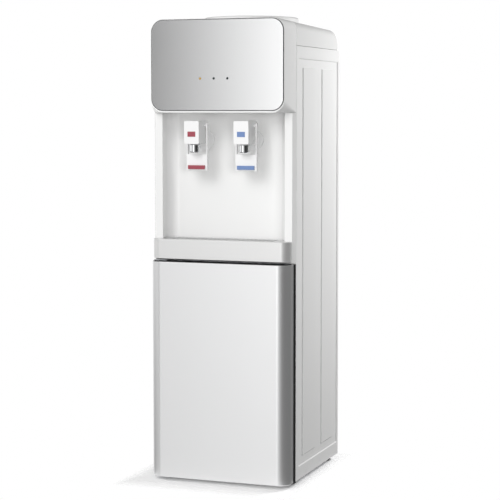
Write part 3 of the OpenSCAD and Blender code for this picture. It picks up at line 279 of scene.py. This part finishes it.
def grid_faces(lines, wide):
    return [(a, a + 1, a + wide + 1, a + wide) for i in range(lines - 1) for a in range(i * wide, (i + 1) * wide - 1)]


def step(value, low, high):
    t = min(max((value - low) / (high - low), 0), 1)
    return t * t * (3 - 2 * t)


def rows(marks, wide):
    return sorted({round(m + wide * k / 4, 6) for m in marks for k in range(5)})


white_coat = finish("white_powder_coat", (0.80, 0.80, 0.795), 0.34, 900, 0.12, 0.0001)
# A black used as painted shade in the gaps beside and over the door.
painted_gap_shade = finish("painted_gap_shade_black", (0.02, 0.02, 0.021), 0.45, 700, 0.1, 0.0001)
door_low, door_high, shade_band_deep = 0.0093, 0.4577, 0.0008
panel_x, panel_front, panel_rear, panel_low, panel_high = 0.155, -0.1223, 0.170, 0.012, 0.8972
field = (-0.106, 0.160, 0.038, 0.8732)
ribs = ((-0.078, 0.008), (0.048, 0.131))
rib_z = (0.056, 0.8552)
slope, press, fold, sheet = 0.0026, 0.0022, 0.0025, 0.0014
front_fold_end, rear_fold_end = 0.1412, 0.1452
end_in, end_high = 0.0004, 0.0008


def sunk(y, z):
    def inside(y0, y1, z0, z1):
        return (step(y, y0, y0 + slope) * (1 - step(y, y1 - slope, y1))
                * step(z, z0, z0 + slope) * (1 - step(z, z1 - slope, z1)))
    raised = sum(inside(a, b, *rib_z) for a, b in ribs)
    return press * inside(*field) * (1 - raised)


def tuck(z):
    return end_in * (step(z, panel_high - end_high, panel_high) + 1 - step(z, panel_low, panel_low + end_high))


ys = [panel_front + fold, panel_rear - fold] + rows([field[0], field[1] - slope], slope)
for a, b in ribs:
    ys += rows([a, b - slope], slope)
ys = sorted(set(ys))
zs = sorted(set(rows([panel_low, panel_high - end_high], end_high)
                + rows([field[2], field[3] - slope, rib_z[0], rib_z[1] - slope], slope) + [door_high]))
bends = [math.radians(a) for a in (0, 22.5, 45, 67.5, 90)]
for side, panel_node in ((1, "right_side_panel"), (-1, "left_side_panel")):
    points = []
    for z in zs:
        row = [(front_fold_end, panel_front)]
        row += [(panel_x - fold + fold * math.sin(t), panel_front + fold - fold * math.cos(t)) for t in bends[:-1]]
        row += [(panel_x - sunk(y, z), y) for y in ys]
        row += [(panel_x - fold + fold * math.cos(t), panel_rear - fold + fold * math.sin(t)) for t in bends[1:]]
        row += [(rear_fold_end, panel_rear)]
        points += [(side * (x - tuck(z)), y, z) for x, y in row]
    faces = [quad[::side] for quad in grid_faces(len(zs), len(row))]
    panel = thick(mesh_piece(panel_node + "_sheet", points, faces), sheet)
    dressed(panel, white_coat, panel_node, angle=50)
    # Painted shade: the front fold's faces beside the door get black, for the dark gap round the door.
    second_paint(panel, painted_gap_shade, lambda face: (face.center.y < panel_front + shade_band_deep
                                                     and door_low < face.center.z < door_high))

# Galvanised sheet parts: the base pan, the rear panel with its condenser saddles, cross members and hinge brackets.
# They are folded or pressed from zinc-coated steel, which shows its crystal pattern. Each edge is eased a little.
def rounded_edges(piece, width, angle, segments=2):
    edge = piece.modifiers.new("edge", "BEVEL")
    edge.width = width
    edge.segments = segments
    edge.limit_method = "ANGLE"
    edge.angle_limit = math.radians(angle)
    return baked(piece)


def eased(name, paint, width, body="cabinet", angle=40, tools=()):
    source = nodes[name]
    mesh = source.data.copy()
    mesh.transform(source.matrix_world)
    piece = placed(name + "_dressed", mesh)
    form = bmesh.new()
    form.from_mesh(mesh)
    bmesh.ops.remove_doubles(form, verts=form.verts, dist=0.000002)
    bmesh.ops.dissolve_limit(form, angle_limit=math.radians(1), verts=form.verts, edges=form.edges)
    form.to_mesh(mesh)
    form.free()
    if width:
        rounded_edges(piece, width, angle)
    for tool in tools:
        combine(piece, tool, "DIFFERENCE")
    return dressed(piece, paint, name, body, angle)


def spangle(name, colour, scale, amount):
    paint = finish(name, colour, 0.38, 500, 0.04, 0.0001, metal=0.6)
    tree = paint.node_tree
    shader = tree.nodes["Principled BSDF"]
    place = tree.nodes.new("ShaderNodeTexCoord")
    crystals = tree.nodes.new("ShaderNodeTexVoronoi")
    crystals.inputs["Scale"].default_value = scale
    tree.links.new(place.outputs["Object"], crystals.inputs["Vector"])
    tint = tree.nodes.new("ShaderNodeValToRGB")
    tint.color_ramp.elements[0].color = (*[c * (1 - amount) for c in colour], 1)
    tint.color_ramp.elements[1].color = (*colour, 1)
    grey = tree.nodes.new("ShaderNodeSeparateColor")
    tree.links.new(crystals.outputs["Color"], grey.inputs["Color"])
    tree.links.new(grey.outputs["Red"], tint.inputs["Fac"])
    tree.links.new(tint.outputs["Color"], shader.inputs["Base Color"])
    return paint


zinc = spangle("galvanised_steel", (0.62, 0.63, 0.65), 90, 0.22)
for name in ("base_pan", "rear_panel", "cross_members", "hinge_brackets"):
    eased(name, zinc, 0.0003)

# Levelling feet: black nylon pads, each moulded on a threaded stud that screws up into the base pan.
# The catch and the black mouldings of the back have the same finish.
black_nylon = finish("black_nylon", (0.022, 0.022, 0.023), 0.5, 600, 0.15, 0.0002)
eased("levelling_feet", black_nylon, 0.0008)

# Top cover: one injection-moulded shell in gloss white. Its long edges have a round of 18 mm and its rear edge 36 mm.
# The roof falls a little to the rear, and a flat ring round the opening carries the bottle seat.
gloss_white = finish("gloss_white_moulding", (0.82, 0.82, 0.815), 0.2, 260, 0.03, 0.0001, coat=0.25)
lid_half, lid_front, lid_rear, lid_top, lid_low = 0.155, -0.1221, 0.170, 0.947, 0.8979
lid_fall, lid_edge, lid_back, lid_wall = 0.006, 0.018, 0.036, 0.0025
seat_y, ring_r, ring_low, ring_high, opening_r = 0.038, 0.104, 0.9365, 0.9475, 0.0925
roof_steps, back_steps, edge_steps = 12, 16, 10
quarter = math.radians(90)
turn_y, turn_z = lid_rear - lid_back, lid_top - lid_fall - lid_back
tilt = math.atan2(lid_fall, turn_y - lid_front)
roof = []
for i in range(roof_steps + 1):
    t = i / roof_steps
    roof.append((lid_front + (turn_y - lid_front) * t, lid_top - lid_fall * t, tilt))
for i in range(1, back_steps + 1):
    a = quarter * i / back_steps
    roof.append((turn_y + lid_back * math.sin(a), turn_z + lid_back * math.cos(a), a))
roof.append((lid_rear, lid_low, quarter))
across = [(x, 0.0) for x in (0, 0.03, 0.06, 0.09, 0.12, lid_half - lid_edge)]
across += [(lid_half - lid_edge + lid_edge * math.sin(quarter * k / edge_steps),
            lid_edge * (1 - math.cos(quarter * k / edge_steps))) for k in range(1, edge_steps + 1)]
across = [(-x, d) for x, d in across[:0:-1]] + across
points = [(x, y - drop * math.sin(a), max(z - drop * math.cos(a), lid_low)) for y, z, a in roof for x, drop in across]
wide = len(across)
faces = grid_faces(len(roof), wide)
for k, order in ((0, 1), (wide - 1, -1)):
    feet = []
    for i in range(len(roof)):
        feet.append(len(points))
        points.append((points[i * wide + k][0], points[i * wide + k][1], lid_low))
    for i in range(len(roof) - 1):
        quad = (i * wide + k, (i + 1) * wide + k, feet[i + 1], feet[i])
        faces.append(quad[::order])


def closed(piece, weld=0.000001):
    form = bmesh.new()
    form.from_mesh(piece.data)
    bmesh.ops.remove_doubles(form, verts=form.verts, dist=weld)
    bmesh.ops.dissolve_degenerate(form, edges=form.edges, dist=weld)
    bmesh.ops.recalc_face_normals(form, faces=form.faces)
    form.to_mesh(piece.data)
    form.free()
    return piece


def form_piece(name, form):
    mesh = bpy.data.meshes.new(name)
    form.to_mesh(mesh)
    form.free()
    return placed(name, mesh)


def drum(name, centre, radius, low, high, sides):
    form = bmesh.new()
    bmesh.ops.create_cone(form, cap_ends=True, segments=sides, radius1=radius, radius2=radius, depth=high - low)
    bmesh.ops.translate(form, verts=form.verts, vec=(centre[0], centre[1], (low + high) / 2))
    return form_piece(name, form)


def combine(piece, tool, way):
    cut = piece.modifiers.new("cut", "BOOLEAN")
    cut.operation = way
    cut.solver = "EXACT"
    cut.object = tool
    baked(piece)
    bpy.data.objects.remove(tool)


lid = thick(closed(mesh_piece("top_cover_shell", points, faces), 0.00002), lid_wall)
rounded_edges(lid, 0.0006, 60, 3)
combine(lid, drum("ring", (0, seat_y), ring_r, ring_low, ring_high, 160), "UNION")
combine(lid, drum("opening", (0, seat_y), opening_r, 0.88, 0.99, 160), "DIFFERENCE")
dressed(lid, gloss_white, "top_cover", angle=32)

# Bottle seat: a turned white moulding that drops into the cover's opening. Its funnel leads the bottle's neck to the
# bore. It lifts out for cleaning, with the pale blue feed probe in its neck and a black ring seal under its cup.
def turned(name, profile, centre, sides):
    points, faces = [], []
    count = len(profile)
    for i in range(sides):
        t = 2 * math.pi * i / sides
        points += [(centre[0] + r * math.cos(t), centre[1] + r * math.sin(t), z) for r, z in profile]
    for i in range(sides):
        j = (i + 1) % sides
        for k in range(count):
            m = (k + 1) % count
            faces.append((i * count + k, j * count + k, j * count + m, i * count + m))
    return closed(mesh_piece(name, points, faces))


def rounded(profile, radius, steps):
    out = []
    count = len(profile)
    for i, point in enumerate(profile):
        before, at, after = Vector(profile[i - 1]), Vector(point), Vector(profile[(i + 1) % count])
        a, b = before - at, after - at
        reach = min(radius, a.length * 0.45, b.length * 0.45)
        if abs(a.angle(b) - math.pi) < 0.1:
            out.append(tuple(at))
            continue
        start, end = at + a.normalized() * reach, at + b.normalized() * reach
        for k in range(steps + 1):
            t = k / steps
            out.append(tuple(start * (1 - t) ** 2 + at * 2 * t * (1 - t) + end * t * t))
    return out


seat_low = 0.9478
seat_profile = [(0.028, 0.8833), (0.028, 0.908), (0.0295, 0.908), (0.0295, 0.930), (0.084, 0.960), (0.087, 0.963),
                (0.098, 0.963), (0.101, 0.960), (0.101, seat_low), (0.092, seat_low), (0.092, seat_low - 0.010),
                (0.0895, seat_low - 0.010), (0.0895, seat_low + 0.006), (0.0325, 0.926), (0.0325, 0.8808),
                (0.009, 0.8808), (0.009, 0.8833)]
seat = turned("bottle_seat_ring", rounded(seat_profile, 0.0018, 4), (0, seat_y), 128)
dressed(seat, gloss_white, "bottle_seat", "bottle_seat")
pale_blue = finish("pale_blue_probe", (0.60, 0.72, 0.80), 0.25, 300, 0.03, 0.0001)
eased("feed_probe", pale_blue, 0.0004, "bottle_seat")
black_rubber = finish("black_rubber", (0.018, 0.018, 0.018), 0.7, 700, 0.2, 0.0002)
eased("seat_seal", black_rubber, 0.0005, "bottle_seat")

# Front hood: a gloss white moulding that grows from the fascia's outline to the cabinet's section at the seam.
# A narrow rim frames the fascia's recess, and the sides are slightly crowned.
def outline(half, low, high, low_r, high_r, turns=12, runs=10):
    out = []
    corners = [(half - high_r, high - high_r, high_r, 0), (-(half - high_r), high - high_r, high_r, 90),
               (-(half - low_r), low + low_r, low_r, 180), (half - low_r, low + low_r, low_r, 270)]
    for i, (cx, cz, r, start) in enumerate(corners):
        arc = [(cx + r * math.cos(math.radians(start + 90 * k / turns)),
                cz + r * math.sin(math.radians(start + 90 * k / turns))) for k in range(turns + 1)]
        nx, nz, nr, ns = corners[(i + 1) % 4]
        ahead = (nx + nr * math.cos(math.radians(ns)), nz + nr * math.sin(math.radians(ns)))
        out += arc
        out += [(arc[-1][0] + (ahead[0] - arc[-1][0]) * k / runs, arc[-1][1] + (ahead[1] - arc[-1][1]) * k / runs)
                for k in range(1, runs)]
    return out


def loft(name, rings):
    count = len(rings[0])
    points = [p for ring in rings for p in ring]
    faces = []
    for i in range(len(rings) - 1):
        for k in range(count):
            m = (k + 1) % count
            faces.append((i * count + k, i * count + m, (i + 1) * count + m, (i + 1) * count + k))
    faces.append(tuple(range(count))[::-1])
    faces.append(tuple((len(rings) - 1) * count + k for k in range(count)))
    return mesh_piece(name, points, faces)


hood_front, hood_back = -0.1655, -0.1233
hood_low, hood_high, hood_half, hood_r = 0.763, 0.9522, 0.1442, 0.0262
rim_round, rim_deep, seam_deep, seam_round, groove_floor = 0.0014, 0.0012, 0.0005, 0.00015, -0.1632
crown, hood_steps = 0.16, 10
rim = outline(hood_half, hood_low, hood_high, hood_r, hood_r)
seam = outline(lid_half, hood_low, lid_top, 0.0012, lid_edge)
groove = outline(0.1432, 0.7668, 0.9512, 0.0252, 0.0252)


def ring_at(shape, y):
    return [(x, y, z) for x, z in shape]


def shrunk(shape, amount, low, high, half):
    mid_z = (low + high) / 2
    kx, kz = 1 - amount / half, 1 - amount / ((high - low) / 2)
    return [(x * kx, mid_z + (z - mid_z) * kz) for x, z in shape]


def in_rim(amount, y):
    return ring_at(shrunk(rim, amount, hood_low, hood_high, hood_half), y)


def in_seam(amount, y):
    return ring_at(shrunk(seam, amount, hood_low, lid_top, lid_half), y)


rings = [ring_at(groove, groove_floor), ring_at(groove, hood_front + 0.0003), in_rim(0.0006, hood_front)]
for angle in (30, 60, 90):
    a = math.radians(angle)
    rings.append(in_rim(rim_round * (1 - math.sin(a)), hood_front + rim_deep * (1 - math.cos(a))))
for k in range(1, hood_steps + 1):
    s = k / hood_steps
    mix = s + crown * s * (1 - s)
    y = hood_front + rim_deep + (hood_back - hood_front - rim_deep - seam_deep) * s
    rings.append([(a[0] + (b[0] - a[0]) * mix, y, a[1] + (b[1] - a[1]) * mix) for a, b in zip(rim, seam)])
rings += [in_seam(seam_round, hood_back - seam_round), in_seam(seam_deep, hood_back), in_seam(0.0025, hood_back),
          in_rim(0.0035, hood_front + 0.0055)]
hood = closed(loft("front_hood_shell", rings))
dressed(hood, gloss_white, "front_hood", angle=32)

# Fascia plate: silver metallic lacquer under a clear coat, on a flat plate with an eased edge.
# A dark bead fills the groove round it, and three indicator lenses show through small round holes.
silver = finish("silver_lacquer", (0.69, 0.692, 0.695), 0.11, 2400, 0.02, 0.00005, metal=0.85, spread=0.02)
plate_half, plate_low, plate_high, plate_r = 0.142, 0.768, 0.950, 0.024
plate_face, plate_side, plate_back = -0.167, -0.1662, -0.164
led_x, led_pitch, led_z, led_r = -0.006, 0.0295, 0.832, 0.00255
plate_outline = outline(plate_half, plate_low, plate_high, plate_r, plate_r, turns=16)
rings = [ring_at(shrunk(plate_outline, amount, plate_low, plate_high, plate_half), y)
         for amount, y in ((0.0008, plate_face), (0.00025, plate_face + 0.00025), (0, plate_side), (0, plate_back))]
plate = closed(loft("fascia_plate_sheet", rings))
for i in (-1, 0, 1):
    tool = drum("led_hole", (0, 0), led_r, -0.01, 0.01, 24)
    for v in tool.data.vertices:
        v.co = (v.co.x + led_x + led_pitch * i, plate_face + 0.002 + v.co.z, led_z + v.co.y)
    combine(closed(plate), closed(tool), "DIFFERENCE")
dressed(plate, silver, "fascia_plate", angle=25)
bead = finish("dark_groove_bead", (0.045, 0.047, 0.05), 0.5, 500, 0.1, 0.0001)
eased("plate_trim", bead, 0)
lens_dark = finish("smoked_lens", (0.02, 0.03, 0.03), 0.15, 300, 0.02, 0.0001)
lens_lit = finish("amber_lens", (0.42, 0.26, 0.06), 0.2, 300, 0.02, 0.0001)
lens_glow = lens_lit.node_tree.nodes["Principled BSDF"]
lens_glow.inputs["Emission Color"].default_value = (1.0, 0.55, 0.15, 1)
lens_glow.inputs["Emission Strength"].default_value = 0.06
lenses = eased("led_lenses", lens_dark, 0.0002)
second_paint(lenses, lens_lit, lambda face: face.center.x < led_x - led_pitch / 2)

# Alcove: one gloss white moulding behind the taps, with a rim, rounded rear corners and the floor of the tray's bay.
# Its edges are moulded with a small radius, so they catch the light.
eased("alcove_panel", gloss_white, 0.0012, angle=50)

# Taps: white mouldings with a colour tile, a chrome spout and a stirrup lever that a cup pushes back.
# The lever turns on two pins in the head. Red marks the hot tap and blue the cold one.
tap_white = finish("tap_white_moulding", (0.83, 0.83, 0.83), 0.28, 300, 0.03, 0.0001, coat=0.15)
eased("tap_bodies", tap_white, 0.0009)
chrome = finish("chrome_plate", (0.86, 0.87, 0.88), 0.06, 100, 0.0, 0.0001, metal=1.0, spread=0.02)
tap_x, spout_y, spout_top = 0.0536, -0.1505, 0.700
spout_profile = [(0.0055, spout_top), (0.0109, spout_top), (0.0109, spout_top - 0.0015), (0.01175, spout_top - 0.0023),
                 (0.01175, spout_top - 0.016), (0.01025, spout_top - 0.018), (0.007, spout_top - 0.018),
                 (0.0055, spout_top - 0.0165)]
form = bmesh.new()
for x in (-tap_x, tap_x):
    spout = turned("spout", rounded(spout_profile, 0.0006, 3), (x, spout_y), 64)
    form.from_mesh(spout.data)
    bpy.data.objects.remove(spout)
dressed(form_piece("chrome_spouts", form), chrome, "spouts")
red = finish("red_moulding", (0.33, 0.062, 0.085), 0.3, 400, 0.04, 0.0001)
blue = finish("blue_moulding", (0.155, 0.245, 0.47), 0.3, 400, 0.04, 0.0001)
for kind, paint, slot in (("hot", red, "red"), ("cold", blue, "blue")):
    eased(kind + "_tile", paint, 0.0003)
    eased(kind + "_bar", paint, 0.0006, kind + "_lever")
    eased(kind + "_lever", tap_white, 0.0006, kind + "_lever")
steel = finish("stainless_steel", (0.66, 0.66, 0.67), 0.3, 300, 0.08, 0.0001, metal=1.0, stretch=(1, 1, 12))
for kind in ("hot", "cold"):
    eased(kind + "_stem", steel, 0.0002, kind + "_stem")

# Drip tray: a silver front moulding with a white basin behind it, pulled out together.
# The grille lies in the tray's mouth and lifts off. Its bars are punched from one silver-coated plate.
band_half, band_front, band_rear, band_r = 0.149, -0.156, -0.1323, 0.017
band_low, band_high, band_edge, band_wall = 0.462, 0.504, 0.002, 0.0025


def corner_arc(centre_x, centre_y, r, start, steps):
    turns = [math.radians(start + 90 * k / steps) for k in range(steps + 1)]
    return [(centre_x + r * math.cos(a), centre_y + r * math.sin(a)) for a in turns]


def front_shell(name, half, front, back, corner, low, high, edge, wall, floor_open=False):
    def plan(inset):
        points = [(-(half - inset), back)]
        for start, side in ((180, -1), (270, 1)):
            points += corner_arc(side * (half - corner), front + corner, corner - inset, start, 16)
        return points + [(half - inset, back)]
    cap_inset, last = 0.006, 4
    bends = [math.radians(90) * k / last for k in range(last + 1)]
    levels = [] if floor_open else [(cap_inset, low)]
    levels += [(edge * (1 - math.sin(a)), low + edge * (1 - math.cos(a))) for a in bends[last if floor_open else 0:]]
    levels += [(edge * (1 - math.cos(a)), high - edge + edge * math.sin(a)) for a in bends]
    levels.append((cap_inset, high))
    points = [(x, y, z) for inset, z in levels for x, y in plan(inset)]
    wide = len(plan(0))
    faces = grid_faces(len(levels), wide)
    if not floor_open:
        faces.append(tuple(range(wide))[::-1])
    faces.append(tuple((len(levels) - 1) * wide + k for k in range(wide)))
    return thick(mesh_piece(name, points, faces), wall)


def block(name, plan_points, low, high):
    count = len(plan_points)
    points = [(x, y, low) for x, y in plan_points] + [(x, y, high) for x, y in plan_points]
    faces = [tuple(range(count))[::-1], tuple(range(count, 2 * count))]
    faces += [(k, (k + 1) % count, count + (k + 1) % count, count + k) for k in range(count)]
    return closed(mesh_piece(name, points, faces))


basin_half, basin_front, basin_rear, basin_r = 0.1315, -0.151, -0.093, 0.019


def basin_plan(inset):
    x, rear, r = basin_half - inset, basin_rear - inset, basin_r - inset
    points = [(-x, basin_front), (x, basin_front)]
    for start, side in ((0, 1), (90, -1)):
        points += corner_arc(side * (x - r), rear - r, r, start, 12)
    return points


band = front_shell("tray_front_shell", band_half, band_front, band_rear, band_r, band_low, band_high, band_edge,
                   band_wall, floor_open=True)
combine(band, block("tray_mouth", basin_plan(0), 0.498, 0.51), "DIFFERENCE")
band_silver = finish("tray_silver", (0.8, 0.8, 0.795), 0.32, 1800, 0.03, 0.00005, metal=0.6, coat=0.1, spread=0.03)
dressed(band, band_silver, "tray_front", "drip_tray")
tray_white = finish("tray_white_moulding", (0.78, 0.78, 0.775), 0.4, 300, 0.05, 0.0001)
eased("drip_tray", tray_white, 0.0008, "drip_tray")


def box_mesh(name, low, high):
    form = bmesh.new()
    bmesh.ops.create_cube(form, size=1)
    for v in form.verts:
        v.co = [low[i] + (v.co[i] + 0.5) * (high[i] - low[i]) for i in range(3)]
    return form_piece(name, form)


def row_tree(name, paint):
    tree = bpy.data.node_groups.new(name, "GeometryNodeTree")
    for label, kind, way in (("Geometry", "NodeSocketGeometry", "INPUT"), ("Count", "NodeSocketInt", "INPUT"),
                             ("Start", "NodeSocketVector", "INPUT"), ("Pitch", "NodeSocketVector", "INPUT"),
                             ("Geometry", "NodeSocketGeometry", "OUTPUT")):
        tree.interface.new_socket(name=label, in_out=way, socket_type=kind)
    enter = tree.nodes.new("NodeGroupInput")
    leave = tree.nodes.new("NodeGroupOutput")
    line = tree.nodes.new("GeometryNodeMeshLine")
    line.mode = "OFFSET"
    put = tree.nodes.new("GeometryNodeInstanceOnPoints")
    real = tree.nodes.new("GeometryNodeRealizeInstances")
    coat = tree.nodes.new("GeometryNodeSetMaterial")
    coat.inputs["Material"].default_value = paint
    tree.links.new(enter.outputs["Count"], line.inputs["Count"])
    tree.links.new(enter.outputs["Start"], line.inputs["Start Location"])
    tree.links.new(enter.outputs["Pitch"], line.inputs["Offset"])
    tree.links.new(line.outputs["Mesh"], put.inputs["Points"])
    tree.links.new(enter.outputs["Geometry"], put.inputs["Instance"])
    tree.links.new(put.outputs["Instances"], real.inputs["Geometry"])
    tree.links.new(real.outputs["Geometry"], coat.inputs["Geometry"])
    tree.links.new(coat.outputs["Geometry"], leave.inputs["Geometry"])
    return tree


def repeated(piece, paint, count, start, pitch):
    tree = row_tree(piece.name + "_row", paint)
    row = piece.modifiers.new("row", "NODES")
    row.node_group = tree
    for socket in tree.interface.items_tree:
        if socket.in_out == "INPUT" and socket.name != "Geometry":
            row[socket.identifier] = {"Count": count, "Start": start, "Pitch": pitch}[socket.name]
    return baked(piece)


grille_silver = finish("grille_silver", (0.62, 0.62, 0.62), 0.32, 1500, 0.03, 0.00005, metal=0.6)
grille_low, grille_high, grille_gap = 0.5008, 0.5038, 0.0006
slot_half, slot_front, slot_rear, slot_past = 0.00225, -0.142, -0.103, 0.001
slot_count, slot_pitch = 25, 0.009
grille = block("drip_grille_plate", basin_plan(grille_gap), grille_low, grille_high)
slot_tool = box_mesh("grille_slots", (-slot_half, slot_front, grille_low - slot_past),
                     (slot_half, slot_rear, grille_high + slot_past))
slots = repeated(slot_tool, grille_silver, slot_count, (-(slot_count - 1) / 2 * slot_pitch, 0, 0), (slot_pitch, 0, 0))
combine(grille, slots, "DIFFERENCE")
rounded_edges(grille, 0.0006, 50)
dressed(grille, grille_silver, "drip_grille", "drip_grille")

# Door: a silver-lacquered steel shell with deep-rounded front corners, closed at the back by a white liner.
# A black magnetic seal runs round the liner, and two white bushes turn on the hinge brackets' pins. The shell's top
# is painted black as painted shade, so the gap over the door looks dark.
door_silver = finish("door_silver", (0.93, 0.932, 0.935), 0.315, 2400, 0.02, 0.00005, metal=0.85, coat=0.1, spread=0.03)
door_half, door_front, door_rear, door_r = 0.1514, -0.164, -0.128, 0.025
door_edge, door_wall, hinge_at, hinge_r = 0.0018, 0.0018, (-0.14, -0.14), 0.00605
door = front_shell("door_shell_sheet", door_half, door_front, door_rear, door_r, door_low, door_high, door_edge,
                   door_wall)
for low, high in ((0.005, 0.02), (0.45, 0.462)):
    combine(door, drum("hinge_hole", hinge_at, hinge_r, low, high, 32), "DIFFERENCE")
dressed(door, door_silver, "door_shell", "door")
# Painted shade: the shell's top face gets black, so the gap over the door looks dark.
second_paint(door, painted_gap_shade, lambda face: face.center.z > door_high - 0.0005 and face.normal.z > 0.9)
liner_white = finish("white_liner_moulding", (0.78, 0.78, 0.77), 0.42, 350, 0.08, 0.0001)
eased("door_liner", liner_white, 0.0015, "door")
eased("hinge_bushes", liner_white, 0.0003, "door")
eased("door_seal", black_rubber, 0.0012, "door")

# Storage cabinet: a white thermoformed liner, a slotted shelf on its ledges, and the black magnetic catch.
# The catch sits at the liner's mouth, by the door's free edge.
eased("cabinet_liner", liner_white, 0.0012)
eased("shelf", liner_white, 0.0006)
eased("magnet_catch", black_nylon, 0.0006)

# Cooling unit: a black-lacquered compressor on rubber mounts, and the condenser, one tube bent to and fro between two
# rows of welded wires. The copper drier and capillary tube lead from it to the evaporator coil on the cold tank.
black_paint = finish("black_lacquer", (0.018, 0.018, 0.019), 0.28, 200, 0.12, 0.0002, coat=0.2)
copper = finish("drawn_copper", (0.72, 0.36, 0.23), 0.3, 60, 0.05, 0.0002, metal=1.0, mottle=0.18)
eased("compressor", black_paint, 0.0008)
eased("compressor_mounts", black_rubber, 0.0006)
eased("relay_cover", tray_white, 0.0012)


def cornered(route, radii, steps):
    path = [Vector(route[0])]
    for before, at, after, r in zip(route, route[1:], route[2:], radii):
        at = Vector(at)
        back, ahead = (Vector(before) - at).normalized(), (Vector(after) - at).normalized()
        half = back.angle(ahead) / 2
        middle = at + (back + ahead).normalized() * r / math.sin(half)
        start, end = at + back * r / math.tan(half) - middle, at + ahead * r / math.tan(half) - middle
        turn = math.pi - 2 * half
        path += [middle + (start * math.sin((1 - k / steps) * turn) + end * math.sin(k / steps * turn)) / math.sin(turn)
                 for k in range(steps + 1)]
    return path + [Vector(route[-1])]


tube_y, tube_r, pass_low, pass_pitch, passes = 0.157, 0.0024, 0.300, 0.050, 12
bend_r, small_bend = (pass_pitch - 0.001) / 2, 0.009
turn_x = 0.098 + bend_r
outlet_x, outlet_y, outlet_z, outlet_turn = 0.005, 0.127, 0.180, 0.196
drier_x, drier_y, drier_top, drier_turn = -0.1363, 0.118, 0.172, 0.196
head = [(outlet_x, outlet_y, outlet_z), (outlet_x, outlet_y, outlet_turn), (outlet_x, tube_y, outlet_turn),
        (outlet_x, tube_y, pass_low)]
turns = [((-1) ** i * turn_x, tube_y, pass_low + (i + k) * pass_pitch) for i in range(passes - 1) for k in (0, 1)]
tail = [(drier_x, tube_y, pass_low + (passes - 1) * pass_pitch), (drier_x, tube_y, drier_turn),
        (drier_x, drier_y, drier_turn), (drier_x, drier_y, drier_top)]
path = cornered(head + turns + tail, [small_bend] * 3 + [bend_r] * len(turns) + [small_bend] * 3, 10)
line = bpy.data.curves.new("condenser_tube_line", "CURVE")
line.dimensions = "3D"
line.bevel_depth = tube_r
line.bevel_resolution = 3
line.use_fill_caps = True
spline = line.splines.new("POLY")
spline.points.add(len(path) - 1)
for point, place in zip(spline.points, path):
    point.co = (*place, 1)
tube_curve = placed("condenser_tube_line", line)
graph = bpy.context.evaluated_depsgraph_get()
tube = placed("condenser_tube_bent", bpy.data.meshes.new_from_object(tube_curve.evaluated_get(graph)))
bpy.data.objects.remove(tube_curve)
dressed(closed(tube), black_paint, "condenser_tube", angle=60)
eased("filter_drier", copper, 0, angle=60)
eased("evaporator_coil", copper, 0, angle=60)
wire_r, wire_low, wire_high, wire_reach, wire_count = 0.0007, 0.290, 0.860, 0.0865, 23
wire_off = tube_r + wire_r + 0.0001
for sign, name in ((-1, "front"), (1, "rear")):
    wires = drum("condenser_wires_" + name, (0, 0), wire_r, wire_low, wire_high, 8)
    repeated(wires, black_paint, wire_count, (-wire_reach, tube_y + sign * wire_off, 0),
             (2 * wire_reach / (wire_count - 1), 0, 0))
    dressed(wires, black_paint, "condenser_wires", angle=60)

# Nuts and screws: bright zinc-plated steel nuts behind the taps, and the pan-head screws of the rear panel.
# Each screw's head has a rounded edge and a cross recess, which two crossed bars sink in it.
plated = finish("zinc_plate", (0.70, 0.71, 0.73), 0.25, 700, 0.03, 0.0001, metal=1.0)
head_x, head_face, head_rows = 0.1443, 0.1472, (0.256, 0.456, 0.656, 0.8732)
recess_long, recess_wide, recess_deep = 0.0021, 0.0004, 0.0009
bars = []
for x in (-head_x, head_x):
    for z in head_rows:
        for reach_x, reach_z in ((recess_long, recess_wide), (recess_wide, recess_long)):
            bars.append(box_mesh("recess_bar", (x - reach_x, head_face - recess_deep, z - reach_z),
                                 (x + reach_x, head_face + recess_deep, z + reach_z)))
eased("nuts_and_screws", plated, 0.0005, tools=bars)

# Rear fittings: the switch housing with its two rockers, the cord inlet and the drain outlet with its ribbed cap.
# All are black nylon mouldings. The hot switch's rocker is red and the cold one's is green.
eased("rear_fittings", black_nylon, 0.0008)
eased("drain_cap", black_nylon, 0.0006, "drain_cap")
green = finish("green_moulding", (0.03, 0.22, 0.09), 0.3, 400, 0.04, 0.0001)
eased("hot_rocker", red, 0.0006, "hot_rocker")
eased("cold_rocker", green, 0.0006, "cold_rocker")

# Inside: the stainless tanks in their foam, the heater band, silicone hoses, the baffle and the boards.
# The taps' return springs are shown here too, each with a mesh of its own.
foam = finish("cast_foam", (0.74, 0.72, 0.62), 0.85, 160, 0.6, 0.0008, mottle=0.12)
silicone = finish("silicone_hose", (0.78, 0.78, 0.74), 0.4, 200, 0.04, 0.0001)
mica = finish("heater_sheath", (0.5, 0.48, 0.44), 0.5, 300, 0.1, 0.0002, metal=0.6)
board = finish("circuit_board", (0.03, 0.16, 0.07), 0.4, 900, 0.1, 0.0001, mottle=0.1)
eased("cold_tank", steel, 0.0006)
eased("hot_tank", steel, 0.0006)
eased("foam_jacket", foam, 0.001)
eased("hot_jacket", foam, 0.001)
eased("heater_band", mica, 0.0004)
eased("baffle", liner_white, 0.0004)
eased("water_hoses", silicone, 0, angle=60)
eased("circuit_boards", board, 0.0002)
for kind, x in (("hot", -tap_x), ("cold", tap_x)):
    spring = eased(kind + "_spring", steel, 0, angle=60)
    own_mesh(spring)
